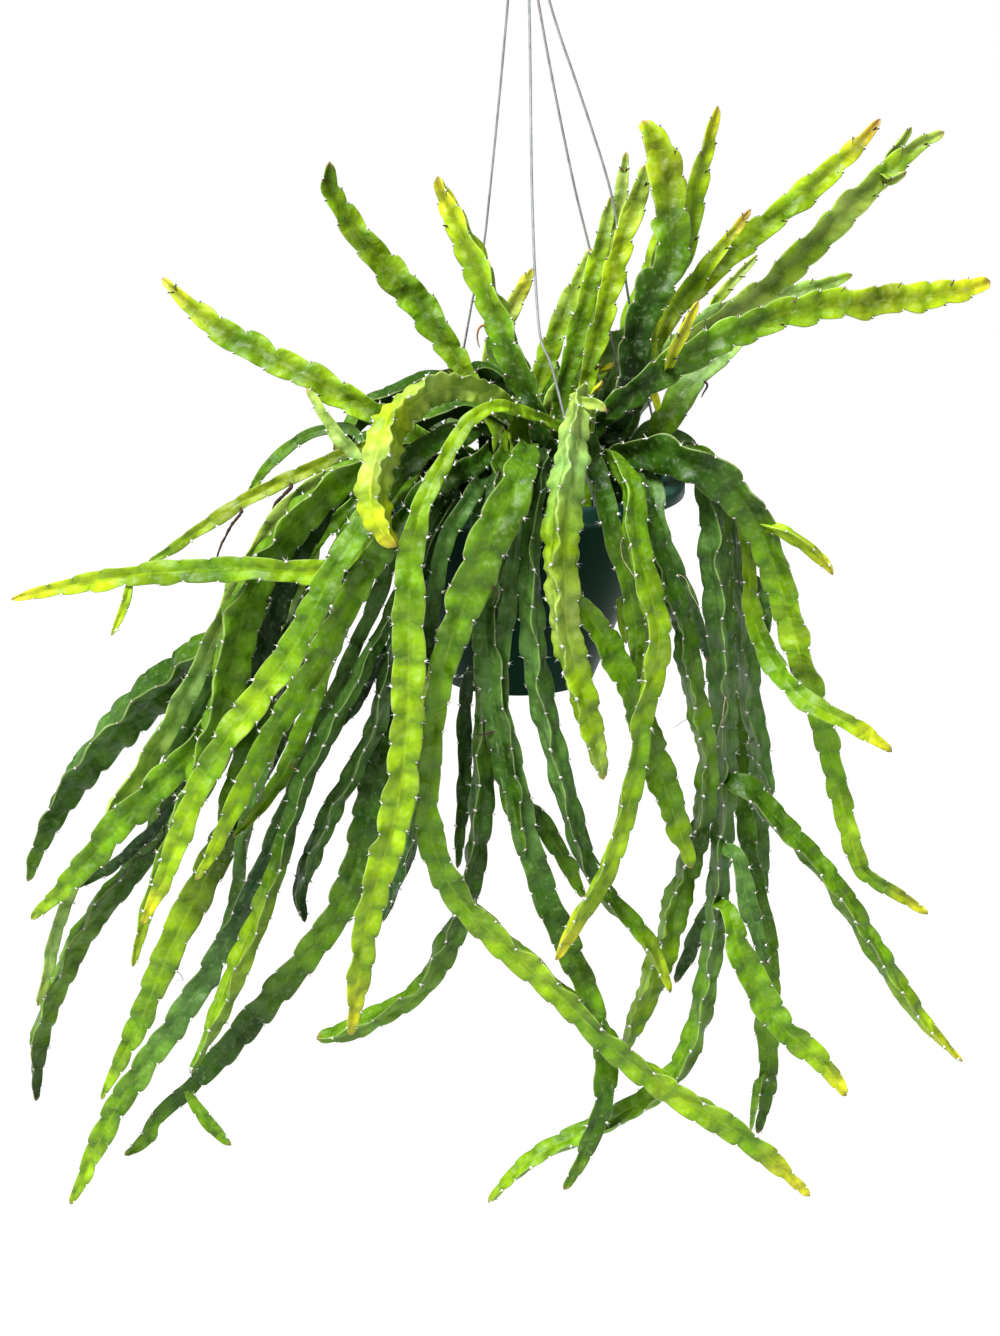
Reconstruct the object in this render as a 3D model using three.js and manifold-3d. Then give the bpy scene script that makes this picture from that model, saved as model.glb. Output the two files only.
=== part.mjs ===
// A hanging basket with a hurricane cactus: millimetres, +Z up, the viewer of the picture stands at -Y.
// The origin is the point of the hook that rests on whatever holds it.
import * as THREE from "three";
import { mergeVertices } from "three/addons/utils/BufferGeometryUtils.js";
import Module from "manifold-3d";

const wasm = await Module();
wasm.setup();
const { Manifold } = wasm;

// Basket
const RIM_Z = -380;
const RIM_RADIUS = 101.5;
const POT_HEIGHT = 125;
const WALL_TOP_RADIUS = 90;
const WALL_TOP_DROP = 14;
const BASE_RADIUS = 49;
const WALL_THICK = 2.2;
const SOIL_DROP = 18;
const DRAIN_HOLES = 6;
const DRAIN_RING = 30;
const DRAIN_RADIUS = 4;
const WIRE_RING = 96;
const WIRE_HOLE_RADIUS = 1.5;
const SEAT_GAP = 0.3;
const HOLE_CUT = 30;
const MERGE_REACH = 1e-4;

// Hanger
const WIRE_RADIUS = 0.75;
const HOOK_WIRE_RADIUS = 1.8;
const HOOK_INNER_RADIUS = 14;
const COLLAR_Z = -48;
const COLLAR_RADIUS = 8;
const COLLAR_THICK = 4;
const COLLAR_RING = 4.8;
const COLLAR_HOLE_RADIUS = 1.2;

// Where the picture was taken from: the stems are placed by eye along its lines of sight.
// A point is [u, v, y, w]: u right and v up from the middle of the rim as seen in the picture,
// y the real depth away from the viewer, w the width of the stem as seen.
const EYE_BACK = 1059;
const EYE_RISE = 210;
const EYE_LEFT = 11;
const PLANE = 1073.6;
const PLANE_RISE = 115.9;
const TILT = THREE.MathUtils.degToRad(17.4);

// Stems
const WING_SHARE = 0.58;
const VALLEY_SHARE = 0.42;
const SAMPLE = 8;
const STATION_REACH = 27;
const STATION_BEND = 0.2;
const ROUNDS = 260;
const SIDE_GIVE = 0.08;
const FOOT_SAMPLES = 9;
const LEAST_SHARE = 0.42;
const CROWDING_SHARE = 0.9;
const CLEARANCE = 1.6;
const ROOT_REACH = 64;
const ROOT_SPACING = 11.5;
const ROOT_WIDTH = 7;

const eye = new THREE.Vector3(-EYE_LEFT, -EYE_BACK, RIM_Z + EYE_RISE);
const viewAxis = new THREE.Vector3(0, Math.cos(TILT), -Math.sin(TILT));

function sightPoint([u, v, y]) {
  const a = (u + EYE_LEFT) / PLANE;
  const b = (v + PLANE_RISE) / PLANE;
  const range = (y + EYE_BACK) / (Math.cos(TILT) + b * Math.sin(TILT));
  const rise = range * (b * Math.cos(TILT) - Math.sin(TILT));
  return new THREE.Vector3(eye.x + range * a, y, eye.z + rise);
}

function rangeOf(point) {
  return point.clone().sub(eye).dot(viewAxis);
}

// Stems that rise and arch over the basket, from the left to the right.
const TOP_STEMS = [
  {
    turn: 180,
    path: [[-20, 10, -10, 8], [-50, 20, -25, 12], [-88, 38, -32, 16], [-115, 55, -30, 17],
      [-145, 70, -25, 18], [-170, 83, -20, 18], [-195, 100, -12, 14], [-217, 122, -5, 0]],
  },
  {
    turn: 180,
    path: [[-12, 30, 10, 8], [-25, 52, 20, 12], [-38, 72, 26, 15], [-52, 95, 30, 18],
      [-66, 112, 32, 20], [-80, 128, 32, 20], [-92, 141, 30, 16], [-103, 156, 28, 14],
      [-113, 172, 25, 13], [-116, 182, 22, 11], [-115, 193, 20, 0]],
  },
  {
    turn: 150,
    path: [[20, 22, -50, 10], [12, 42, -50, 16], [4, 58, -48, 20], [-2, 74, -46, 19],
      [-7, 88, -42, 17], [-14, 105, -36, 19], [-21, 122, -30, 21], [-28, 140, -24, 18],
      [-37, 158, -18, 16], [-44, 172, -12, 12], [-49, 184, -10, 0]],
  },
  {
    turn: 180,
    path: [[-12, 40, 50, 6], [-18, 62, 62, 11], [-16, 78, 70, 13], [-8, 92, 72, 10],
      [-3, 104, 74, 11], [3, 116, 74, 10], [9, 128, 75, 0]],
  },
  {
    turn: 170,
    path: [[6, 38, 20, 8], [13, 58, 24, 13], [19, 75, 26, 14], [26, 92, 28, 14],
      [32, 108, 28, 13], [39, 124, 28, 11], [45, 140, 28, 0]],
  },
  {
    turn: 200,
    path: [[24, 40, 5, 9], [28, 60, 8, 13], [34, 80, 10, 14], [39, 98, 12, 13],
      [43, 115, 14, 12], [48, 133, 16, 11], [53, 152, 18, 10], [57, 172, 20, 0]],
  },
  {
    turn: 160,
    path: [[38, 60, 35, 8], [46, 85, 42, 10], [51, 108, 45, 12], [55, 130, 46, 12],
      [59, 150, 46, 11], [63, 170, 46, 10], [65, 185, 46, 9], [66, 199, 46, 0]],
  },
  {
    turn: 180,
    path: [[40, 50, -5, 9], [45, 72, 0, 12], [49, 90, 4, 14], [54, 108, 6, 15],
      [58, 125, 8, 15], [63, 143, 10, 14], [68, 160, 12, 13], [74, 176, 14, 12],
      [78, 191, 14, 0]],
  },
  {
    turn: 195,
    path: [[52, 25, -25, 12], [60, 38, -28, 18], [67, 55, -28, 20], [71, 75, -26, 21],
      [73, 95, -24, 20], [80, 111, -20, 22], [89, 125, -16, 22], [93, 142, -12, 22],
      [92, 160, -8, 22], [89, 178, -4, 23], [86, 195, 0, 23], [80, 209, 2, 14],
      [76, 218, 4, 0]],
    limbs: [
      [[97, 129, -8, 11], [102, 145, 2, 13], [105, 162, 6, 13], [108, 178, 8, 14],
        [112, 194, 8, 13], [117, 210, 8, 10], [122, 227, 8, 0]],
      [[78, 70, -8, 8], [81, 85, 2, 8], [84, 98, 6, 7], [88, 109, 8, 0]],
    ],
  },
  {
    turn: 180,
    path: [[60, 45, 30, 8], [78, 75, 38, 12], [92, 97, 40, 14], [108, 115, 40, 14],
      [124, 130, 38, 15], [140, 144, 35, 15], [156, 158, 32, 16], [172, 171, 30, 16],
      [188, 184, 28, 15], [200, 196, 26, 13], [210, 206, 25, 9], [221, 219, 24, 0]],
  },
  {
    turn: 170,
    path: [[66, 50, 15, 8], [80, 72, 18, 10], [92, 95, 16, 12], [103, 112, 14, 12],
      [114, 126, 12, 11], [124, 139, 12, 10], [133, 151, 12, 8], [142, 164, 12, 0]],
  },
  {
    turn: 190,
    path: [[80, 60, 60, 9], [100, 80, 66, 13], [120, 95, 68, 14], [138, 107, 66, 15],
      [153, 118, 64, 17], [167, 132, 62, 18], [181, 145, 60, 18], [195, 158, 58, 18],
      [207, 171, 56, 17], [218, 184, 54, 15], [230, 194, 52, 12], [242, 202, 51, 11],
      [260, 211, 50, 0]],
    limbs: [
      [[225, 193, 62, 9], [232, 203, 64, 9], [240, 214, 65, 0]],
      [[226, 182, 46, 8], [237, 187, 42, 0]],
    ],
  },
  {
    turn: 180,
    path: [[42, 24, -45, 10], [52, 36, -48, 14], [64, 48, -50, 18], [78, 58, -50, 20],
      [94, 69, -48, 20], [110, 79, -46, 20], [127, 87, -42, 19], [145, 94, -38, 18],
      [163, 100, -34, 18], [182, 104, -30, 19], [200, 105, -26, 18], [220, 107, -22, 18],
      [240, 109, -18, 19], [260, 111, -14, 17], [275, 115, -10, 12], [288, 120, -6, 0]],
    limbs: [
      [[93, 75, -64, 7], [97, 82, -68, 8], [102, 93, -70, 8], [106, 101, -70, 6],
        [110, 108, -70, 0]],
    ],
  },
  {
    turn: 175,
    path: [[82, 70, 95, 7], [100, 86, 102, 11], [120, 98, 104, 13], [140, 106, 102, 14],
      [160, 110, 100, 14], [178, 114, 98, 12], [192, 119, 96, 8], [204, 124, 95, 0]],
    limbs: [
      [[118, 104, 114, 6], [128, 115, 118, 8], [137, 126, 120, 7], [146, 136, 122, 0]],
    ],
  },
  {
    turn: 165,
    path: [[70, 12, -15, 8], [84, 24, -18, 16], [93, 38, -18, 20], [103, 52, -16, 20],
      [114, 65, -14, 18], [126, 76, -12, 14], [138, 84, -10, 10], [150, 92, -8, 0]],
  },
  {
    turn: 180,
    path: [[20, 45, 40, 8], [34, 60, 46, 16], [48, 72, 50, 20], [62, 82, 54, 20],
      [76, 92, 58, 14], [90, 102, 60, 0]],
  },
];

// Stems that fall in front of the basket and to the right of it.
const FRONT_STEMS = [
  {
    turn: 10,
    path: [[44, 30, -50, 9], [39, 52, -75, 11], [36, 42, -92, 15], [34, 26, -108, 19],
      [31, 8, -120, 22], [28, -12, -130, 24], [25, -32, -136, 24], [25, -52, -138, 22],
      [26, -72, -140, 21], [27, -90, -140, 19], [32, -110, -140, 19], [37, -130, -140, 19],
      [42, -150, -140, 17], [47, -166, -140, 14], [52, -184, -140, 0]],
    limbs: [
      [[34, -76, -130, 12], [44, -88, -124, 17], [54, -103, -120, 18], [63, -120, -116, 18],
        [70, -138, -112, 17], [78, -158, -110, 18], [85, -178, -110, 19], [92, -200, -110, 18],
        [99, -220, -110, 14], [106, -238, -110, 0]],
      [[44, 45, -92, 9], [50, 44, -97, 6], [54, 41, -100, 0]],
    ],
  },
  {
    turn: 30,
    path: [[52, 14, -70, 7], [62, 8, -90, 12], [68, -4, -108, 15], [70, -20, -118, 16],
      [71, -38, -124, 16], [75, -56, -128, 17], [80, -74, -130, 17], [84, -92, -132, 16],
      [84, -108, -132, 16], [80, -124, -132, 15], [76, -140, -132, 14], [73, -156, -132, 13],
      [72, -172, -132, 13], [69, -188, -132, 13], [65, -204, -132, 13], [60, -220, -132, 12],
      [54, -238, -132, 12], [48, -250, -132, 12], [38, -264, -132, 12], [30, -280, -132, 9],
      [23, -294, -132, 0]],
  },
  {
    turn: 180,
    path: [[42, 24, -60, 8], [47, 10, -88, 10], [52, -10, -106, 12], [57, -30, -110, 13],
      [63, -50, -110, 12], [68, -70, -108, 12], [71, -90, -108, 12], [72, -112, -108, 12],
      [70, -134, -108, 0]],
    limbs: [[[64, -74, -98, 6], [64, -86, -95, 7], [66, -101, -95, 0]]],
  },
  {
    turn: 180,
    path: [[66, 4, -42, 8], [78, 1, -68, 10], [83, -10, -84, 12], [84, -26, -90, 12],
      [89, -42, -92, 12], [96, -58, -92, 12], [104, -76, -92, 11], [111, -94, -92, 10],
      [116, -112, -92, 0]],
  },
  {
    turn: 20,
    path: [[66, 4, -66, 8], [76, -14, -96, 11], [82, -36, -104, 13], [88, -58, -108, 15],
      [96, -78, -110, 15], [102, -98, -110, 15], [105, -120, -110, 15], [109, -142, -108, 14],
      [114, -162, -104, 14], [115, -182, -100, 13], [113, -202, -98, 14], [108, -222, -96, 15],
      [101, -242, -94, 16], [95, -262, -92, 17], [90, -282, -90, 17], [83, -302, -88, 17],
      [75, -322, -86, 16], [68, -340, -84, 10], [63, -352, -84, 0]],
  },
  {
    turn: 0,
    path: [[84, 14, -35, 8], [100, 12, -55, 12], [112, 2, -68, 14], [118, -16, -74, 15],
      [119, -36, -76, 17], [121, -58, -76, 19], [123, -80, -76, 18], [125, -102, -76, 18],
      [125, -126, -76, 19], [125, -150, -78, 18], [126, -174, -80, 16], [126, -198, -82, 14],
      [124, -222, -84, 14], [122, -246, -86, 14], [120, -270, -88, 14], [117, -294, -90, 14],
      [113, -318, -92, 14], [108, -340, -94, 14], [100, -358, -96, 14], [88, -373, -98, 14],
      [72, -384, -100, 14], [52, -395, -102, 14], [32, -404, -104, 13], [14, -413, -106, 12],
      [-2, -425, -108, 10], [-18, -442, -110, 0]],
    limbs: [
      [[134, -186, -88, 14], [144, -195, -90, 16], [156, -208, -92, 15], [168, -220, -92, 14],
        [181, -234, -92, 13], [193, -249, -92, 13], [203, -264, -92, 14], [213, -280, -92, 13],
        [223, -296, -92, 13], [233, -311, -92, 12], [243, -326, -92, 11], [255, -341, -92, 7],
        [271, -356, -92, 0]],
      [[132, -228, -96, 9], [136, -246, -100, 12], [141, -264, -102, 13], [146, -280, -102, 11],
        [151, -297, -102, 0]],
      [[128, -264, -108, 10], [133, -284, -114, 16], [141, -302, -116, 18],
        [150, -318, -116, 18], [160, -333, -116, 16], [172, -344, -116, 15],
        [184, -354, -116, 14], [193, -365, -116, 10], [200, -377, -116, 0]],
      [[117, -262, -70, 8], [110, -280, -64, 12], [103, -293, -62, 10], [96, -308, -62, 0]],
    ],
  },
  {
    turn: 15,
    path: [[96, 12, -18, 8], [120, 7, -28, 10], [132, -6, -38, 12], [134, -28, -42, 12],
      [136, -52, -44, 12], [138, -78, -46, 13], [139, -104, -46, 14], [141, -130, -46, 14],
      [144, -152, -46, 14], [149, -172, -46, 12], [155, -194, -46, 0]],
    limbs: [
      [[143, -160, -34, 9], [146, -182, -24, 10], [147, -206, -14, 11], [148, -230, -12, 11],
        [150, -256, -12, 0]],
    ],
  },
  {
    turn: 180,
    path: [[96, 18, 14, 8], [120, 8, -2, 8], [130, -30, -10, 10], [134, -70, -14, 10],
      [135, -110, -18, 10], [135, -150, -20, 11], [137, -190, -24, 11], [140, -220, -28, 11],
      [146, -250, -32, 11], [152, -275, -34, 11], [154, -300, -36, 12], [152, -322, -38, 14],
      [152, -344, -40, 13], [153, -364, -40, 11], [150, -382, -40, 9], [146, -400, -40, 0]],
    limbs: [[[148, -366, -48, 5], [145, -382, -50, 6], [142, -398, -50, 0]]],
  },
  {
    turn: 200,
    path: [[48, 4, -40, 10], [60, 8, -56, 16], [72, 14, -66, 20], [86, 16, -78, 22],
      [100, 13, -86, 24], [114, 7, -90, 24], [127, -2, -90, 24], [138, -13, -88, 23],
      [147, -27, -86, 21], [154, -44, -84, 20], [160, -62, -82, 19], [166, -82, -80, 18],
      [171, -102, -80, 18], [177, -121, -80, 17], [184, -140, -80, 16], [189, -160, -80, 14],
      [194, -182, -80, 13], [199, -202, -80, 13], [203, -220, -80, 12], [210, -238, -80, 10],
      [222, -248, -80, 10], [236, -256, -80, 8], [250, -266, -80, 0]],
    limbs: [
      [[160, -32, -98, 8], [170, -37, -100, 10], [180, -45, -100, 9], [187, -51, -100, 7],
        [192, -59, -100, 0]],
    ],
  },
  {
    turn: 180,
    path: [[108, 16, -30, 8], [124, 2, -52, 10], [134, -14, -60, 10], [139, -34, -62, 9],
      [141, -56, -62, 9], [142, -76, -62, 10], [147, -96, -66, 13], [156, -114, -76, 14],
      [167, -129, -92, 13], [181, -140, -106, 12], [196, -147, -110, 11], [211, -155, -112, 10],
      [228, -167, -112, 0]],
    limbs: [[[147, -66, -60, 10], [150, -78, -62, 13], [152, -96, -62, 0]]],
  },
  {
    turn: 5,
    path: [[15, 14, -50, 8], [15, 6, -80, 9], [12, -10, -106, 12], [8, -32, -112, 13],
      [8, -52, -114, 14], [8, -74, -118, 15], [9, -96, -118, 16], [12, -118, -118, 16],
      [15, -138, -118, 16], [20, -158, -118, 15], [25, -178, -118, 14], [30, -198, -116, 14],
      [35, -216, -114, 14], [41, -234, -112, 13], [48, -248, -110, 12], [58, -260, -110, 12],
      [69, -272, -110, 12], [79, -284, -110, 12], [86, -297, -110, 9], [93, -314, -110, 0]],
  },
  {
    turn: 170,
    path: [[-4, 8, -56, 8], [-2, 2, -84, 9], [0, -14, -107, 12], [-1, -36, -112, 12],
      [-3, -56, -112, 12], [-6, -78, -112, 12], [-10, -98, -112, 12], [-12, -118, -112, 12],
      [-11, -138, -112, 13], [-7, -158, -110, 14], [-3, -178, -108, 15], [0, -198, -106, 16],
      [5, -218, -106, 16], [11, -238, -106, 16], [17, -256, -106, 16], [25, -274, -106, 16],
      [33, -292, -106, 16], [40, -310, -106, 16], [46, -328, -106, 16], [51, -346, -108, 15],
      [53, -364, -114, 14], [50, -384, -120, 13], [44, -402, -122, 11], [37, -418, -122, 9],
      [28, -434, -122, 0]],
    limbs: [
      [[8, -200, -94, 9], [16, -212, -88, 12], [25, -226, -86, 12], [33, -240, -86, 10],
        [40, -256, -86, 0]],
    ],
  },
  {
    turn: 20,
    path: [[-11, 12, -50, 8], [-13, 4, -82, 8], [-12, -12, -104, 10], [-13, -34, -108, 10],
      [-16, -58, -108, 11], [-19, -80, -108, 11], [-21, -102, -108, 12], [-21, -126, -108, 13],
      [-21, -150, -108, 14], [-22, -174, -108, 15], [-23, -196, -108, 16], [-25, -218, -108, 15],
      [-28, -240, -106, 13], [-33, -260, -104, 13], [-40, -276, -102, 16], [-47, -291, -100, 17],
      [-54, -304, -100, 14], [-63, -315, -100, 12], [-76, -323, -100, 13], [-91, -331, -100, 15],
      [-106, -338, -100, 15], [-123, -342, -100, 0]],
    limbs: [
      [[-30, -120, -94, 8], [-33, -142, -88, 9], [-33, -164, -86, 9], [-33, -186, -86, 9],
        [-35, -208, -86, 9], [-37, -238, -86, 0]],
    ],
  },
  {
    turn: 180,
    path: [[6, 18, -72, 10], [3, 8, -104, 18], [-4, -10, -128, 23], [-13, -28, -136, 25],
      [-22, -48, -138, 25], [-30, -68, -134, 24], [-38, -88, -134, 22], [-44, -108, -134, 19],
      [-49, -130, -134, 16], [-52, -154, -132, 14], [-54, -178, -130, 13], [-55, -202, -128, 15],
      [-51, -224, -126, 17], [-43, -243, -124, 18], [-31, -260, -122, 19], [-15, -277, -122, 19],
      [3, -292, -122, 18], [20, -308, -122, 17], [37, -325, -122, 17], [55, -343, -122, 17],
      [74, -359, -122, 17], [96, -374, -122, 17], [118, -388, -122, 17], [138, -401, -122, 15],
      [155, -415, -122, 13], [167, -427, -122, 8], [178, -438, -122, 0]],
  },
  {
    turn: 180,
    path: [[24, 26, -46, 6], [10, 36, -72, 6], [-4, 42, -88, 8], [-18, 42, -100, 9], [-32, 32, -108, 9],
      [-43, 14, -116, 10], [-52, -4, -124, 11], [-60, -22, -130, 14], [-64, -42, -134, 17],
      [-66, -64, -136, 19], [-66, -88, -138, 20], [-66, -112, -138, 21], [-67, -136, -138, 22],
      [-68, -160, -138, 21], [-71, -184, -138, 20], [-76, -208, -138, 20], [-82, -232, -138, 19],
      [-90, -256, -138, 17], [-94, -278, -138, 16], [-97, -300, -136, 15], [-100, -322, -134, 12],
      [-102, -340, -132, 0]],
  },
  {
    turn: 190,
    path: [[-2, 36, -42, 9], [-16, 48, -68, 14], [-32, 56, -78, 17], [-48, 56, -88, 18],
      [-62, 50, -100, 20], [-74, 38, -112, 22], [-81, 22, -122, 23], [-85, 5, -130, 23],
      [-87, -12, -136, 22], [-84, -27, -138, 19], [-74, -42, -140, 0]],
  },
  {
    turn: 180,
    path: [[-20, 6, -66, 8], [-23, -1, -92, 9], [-30, -13, -114, 11], [-40, -28, -122, 11],
      [-47, -46, -125, 11], [-51, -66, -126, 12], [-54, -88, -126, 11], [-57, -110, -126, 9],
      [-60, -132, -126, 0]],
  },
];

// Stems that fan out to the left.
const LEFT_STEMS = [
  {
    turn: 175,
    path: [[-54, 13, -44, 8], [-67, -1, -87, 9], [-88, -28, -103, 13], [-108, -52, -108, 14],
      [-130, -58, -108, 14], [-152, -56, -106, 15], [-175, -55, -104, 16], [-198, -57, -102, 15],
      [-220, -58, -100, 14], [-242, -60, -98, 13], [-264, -64, -96, 12], [-285, -68, -94, 9],
      [-309, -74, -92, 0]],
    limbs: [[[-238, -72, -104, 6], [-242, -83, -106, 6], [-248, -96, -108, 0]]],
  },
  {
    turn: 180,
    path: [[-64, 14, -32, 6], [-85, 20, -46, 8], [-112, 12, -50, 9], [-130, 3, -50, 9],
      [-148, -4, -50, 9], [-165, -14, -50, 9], [-183, -25, -50, 9], [-200, -36, -50, 8],
      [-213, -45, -50, 6], [-226, -52, -50, 0]],
    limbs: [
      [[-100, 29, -30, 6], [-118, 29, -24, 7], [-135, 22, -20, 7], [-147, 12, -20, 7],
        [-156, 2, -20, 7], [-166, -13, -20, 0]],
    ],
  },
  {
    turn: 185,
    path: [[-20, 26, -54, 10], [-38, 25, -78, 16], [-60, 14, -92, 17], [-78, -4, -102, 17],
      [-91, -24, -110, 17], [-101, -40, -118, 17], [-111, -56, -124, 17], [-120, -74, -128, 17],
      [-129, -92, -128, 18], [-139, -110, -128, 19], [-151, -126, -128, 19],
      [-164, -143, -128, 18], [-177, -160, -128, 17], [-188, -178, -128, 16],
      [-197, -196, -128, 14], [-205, -216, -128, 14], [-213, -238, -128, 13],
      [-221, -256, -128, 9], [-229, -272, -128, 0]],
  },
  {
    turn: 10,
    path: [[-90, 0, -40, 9], [-115, -20, -50, 12], [-140, -48, -52, 16], [-162, -78, -52, 20],
      [-183, -100, -50, 24], [-204, -116, -48, 26], [-223, -131, -46, 27], [-240, -147, -44, 26],
      [-256, -164, -42, 23], [-269, -181, -40, 20], [-280, -198, -38, 16], [-288, -214, -36, 13],
      [-295, -230, -34, 9], [-299, -246, -32, 0]],
  },
  {
    turn: 150,
    path: [[-70, 12, -30, 8], [-105, 6, -52, 10], [-128, -6, -62, 12], [-146, -24, -68, 13],
      [-160, -46, -70, 14], [-172, -68, -70, 14], [-183, -92, -70, 14], [-195, -116, -70, 15],
      [-208, -140, -70, 15], [-221, -162, -68, 15], [-234, -183, -66, 14], [-247, -202, -64, 12],
      [-258, -222, -62, 10], [-269, -242, -60, 9], [-278, -262, -58, 9], [-284, -284, -58, 8],
      [-288, -304, -58, 7], [-293, -322, -58, 0]],
  },
  {
    turn: 170,
    path: [[-78, 6, -44, 8], [-103, -17, -60, 9], [-130, -46, -66, 11], [-148, -80, -66, 12],
      [-164, -114, -68, 14], [-180, -142, -74, 16], [-197, -164, -78, 18], [-215, -183, -76, 19],
      [-233, -200, -74, 20], [-250, -218, -72, 20], [-264, -236, -70, 17], [-278, -251, -68, 12],
      [-297, -269, -66, 0]],
    limbs: [
      [[-202, -186, -62, 6], [-216, -208, -56, 7], [-232, -224, -54, 8], [-248, -237, -54, 8],
        [-262, -245, -54, 6], [-277, -252, -54, 0]],
    ],
  },
  {
    turn: 20,
    path: [[-80, -2, -60, 8], [-108, -40, -66, 10], [-134, -84, -58, 11], [-158, -128, -48, 12],
      [-182, -168, -44, 13], [-205, -203, -42, 15], [-226, -228, -42, 16], [-243, -247, -46, 16],
      [-258, -266, -46, 15], [-270, -284, -46, 15], [-278, -302, -46, 14], [-286, -320, -46, 13],
      [-292, -338, -46, 13], [-294, -356, -46, 11], [-294, -380, -46, 0]],
  },
  {
    turn: 25,
    path: [[-40, 22, -46, 10], [-66, 17, -74, 14], [-88, 10, -88, 18], [-106, 1, -97, 20],
      [-122, -11, -101, 21], [-137, -27, -102, 22], [-151, -46, -101, 23], [-163, -65, -100, 24],
      [-171, -86, -98, 25], [-176, -108, -98, 25], [-180, -131, -98, 24], [-186, -154, -98, 22],
      [-194, -177, -98, 20], [-203, -199, -98, 16], [-212, -221, -98, 13], [-221, -244, -98, 11],
      [-228, -268, -98, 9], [-235, -298, -98, 0]],
    limbs: [
      [[-116, -16, -87, 10], [-130, -38, -85, 13], [-142, -62, -83, 15], [-150, -86, -82, 15],
        [-157, -108, -82, 14], [-166, -132, -82, 0]],
      [[-98, 13, -72, 7], [-106, 21, -68, 9], [-114, 32, -66, 9], [-121, 43, -64, 7],
        [-129, 55, -62, 0]],
    ],
  },
  {
    turn: 180,
    path: [[-14, 12, -60, 10], [-26, 8, -86, 13], [-42, 1, -102, 14], [-58, -10, -112, 15],
      [-72, -27, -118, 16], [-84, -45, -118, 17], [-96, -63, -116, 17], [-107, -82, -114, 17],
      [-116, -102, -112, 17], [-128, -123, -110, 16], [-141, -143, -108, 15],
      [-153, -163, -106, 14], [-163, -182, -104, 13], [-172, -200, -102, 12],
      [-181, -218, -100, 10], [-189, -234, -98, 7], [-197, -245, -98, 0]],
    limbs: [
      [[-106, -88, -96, 11], [-115, -112, -92, 13], [-123, -135, -90, 14], [-131, -156, -90, 14],
        [-140, -176, -90, 13], [-150, -193, -92, 11], [-161, -206, -94, 8],
        [-174, -219, -96, 0]],
    ],
  },
  {
    turn: 0,
    path: [[-36, 4, -60, 8], [-42, -1, -82, 8], [-51, -17, -100, 9], [-60, -38, -106, 10],
      [-70, -66, -106, 10], [-82, -92, -108, 11], [-94, -115, -112, 11], [-106, -138, -114, 11],
      [-118, -160, -114, 12],
      [-129, -181, -114, 12], [-137, -203, -112, 12], [-143, -225, -112, 12],
      [-150, -247, -112, 13], [-158, -268, -112, 15], [-166, -287, -112, 16],
      [-174, -306, -112, 15], [-182, -325, -112, 13], [-190, -344, -112, 9],
      [-200, -363, -112, 0]],
  },
  {
    turn: 10,
    path: [[-28, 2, -62, 8], [-33, -2, -86, 8], [-43, -22, -110, 9], [-56, -50, -116, 9],
      [-68, -80, -116, 10],
      [-77, -106, -110, 11], [-82, -130, -104, 12], [-87, -152, -96, 12], [-95, -170, -94, 12],
      [-104, -186, -92, 13], [-113, -202, -90, 13], [-121, -219, -88, 13], [-128, -236, -86, 12],
      [-134, -254, -84, 9], [-130, -271, -84, 0]],
    limbs: [
      [[-84, -108, -104, 9], [-92, -124, -99, 11], [-100, -138, -97, 9], [-109, -152, -97, 0]],
    ],
  },
  {
    turn: 180,
    path: [[-43, 4, -56, 8], [-50, -1, -76, 8], [-55, -16, -92, 9], [-58, -38, -97, 9],
      [-62, -62, -94, 10], [-70, -92, -86, 12], [-76, -122, -86, 14], [-82, -152, -90, 16],
      [-87, -180, -90, 19],
      [-92, -208, -90, 20], [-98, -234, -90, 20], [-107, -257, -90, 19], [-121, -279, -90, 19],
      [-138, -300, -90, 18], [-155, -320, -90, 18], [-171, -339, -90, 17], [-186, -356, -90, 15],
      [-200, -371, -90, 10], [-211, -381, -90, 6], [-221, -391, -90, 10], [-226, -402, -90, 9],
      [-240, -413, -90, 0]],
    limbs: [
      [[-198, -379, -94, 6], [-191, -390, -96, 9], [-183, -399, -96, 8], [-175, -407, -96, 0]],
      [[-64, -130, -104, 9], [-61, -165, -106, 11], [-62, -200, -106, 13], [-67, -226, -106, 13],
        [-75, -250, -106, 10], [-84, -272, -106, 0]],
    ],
  },
  {
    turn: 190,
    path: [[-66, 0, -66, 8], [-86, -30, -76, 9], [-106, -66, -78, 10], [-124, -104, -74, 11],
      [-140, -142, -70, 13], [-154, -172, -68, 15], [-167, -197, -66, 17], [-178, -219, -64, 18],
      [-188, -240, -62, 19], [-198, -260, -60, 19], [-208, -280, -58, 18], [-216, -300, -56, 18],
      [-224, -319, -54, 16], [-233, -339, -52, 14], [-243, -358, -50, 9], [-254, -379, -50, 0]],
    limbs: [
      [[-150, -168, -84, 9], [-159, -190, -86, 10], [-166, -214, -86, 10], [-168, -238, -86, 9],
        [-174, -262, -86, 8], [-183, -284, -86, 0]],
    ],
  },
  {
    turn: 180,
    path: [[-50, 4, -52, 8], [-58, -2, -70, 8], [-64, -15, -86, 8], [-70, -34, -97, 9],
      [-84, -70, -98, 10], [-100, -106, -94, 10],
      [-114, -138, -92, 11], [-126, -168, -92, 12], [-138, -195, -94, 13], [-147, -217, -96, 13],
      [-156, -239, -98, 14], [-166, -260, -100, 14], [-177, -281, -100, 15],
      [-188, -300, -100, 15], [-200, -319, -100, 15], [-212, -337, -100, 15],
      [-225, -355, -100, 15], [-237, -372, -100, 15], [-248, -391, -100, 14],
      [-258, -411, -100, 13], [-265, -428, -100, 8], [-273, -443, -100, 0]],
  },
];

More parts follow.
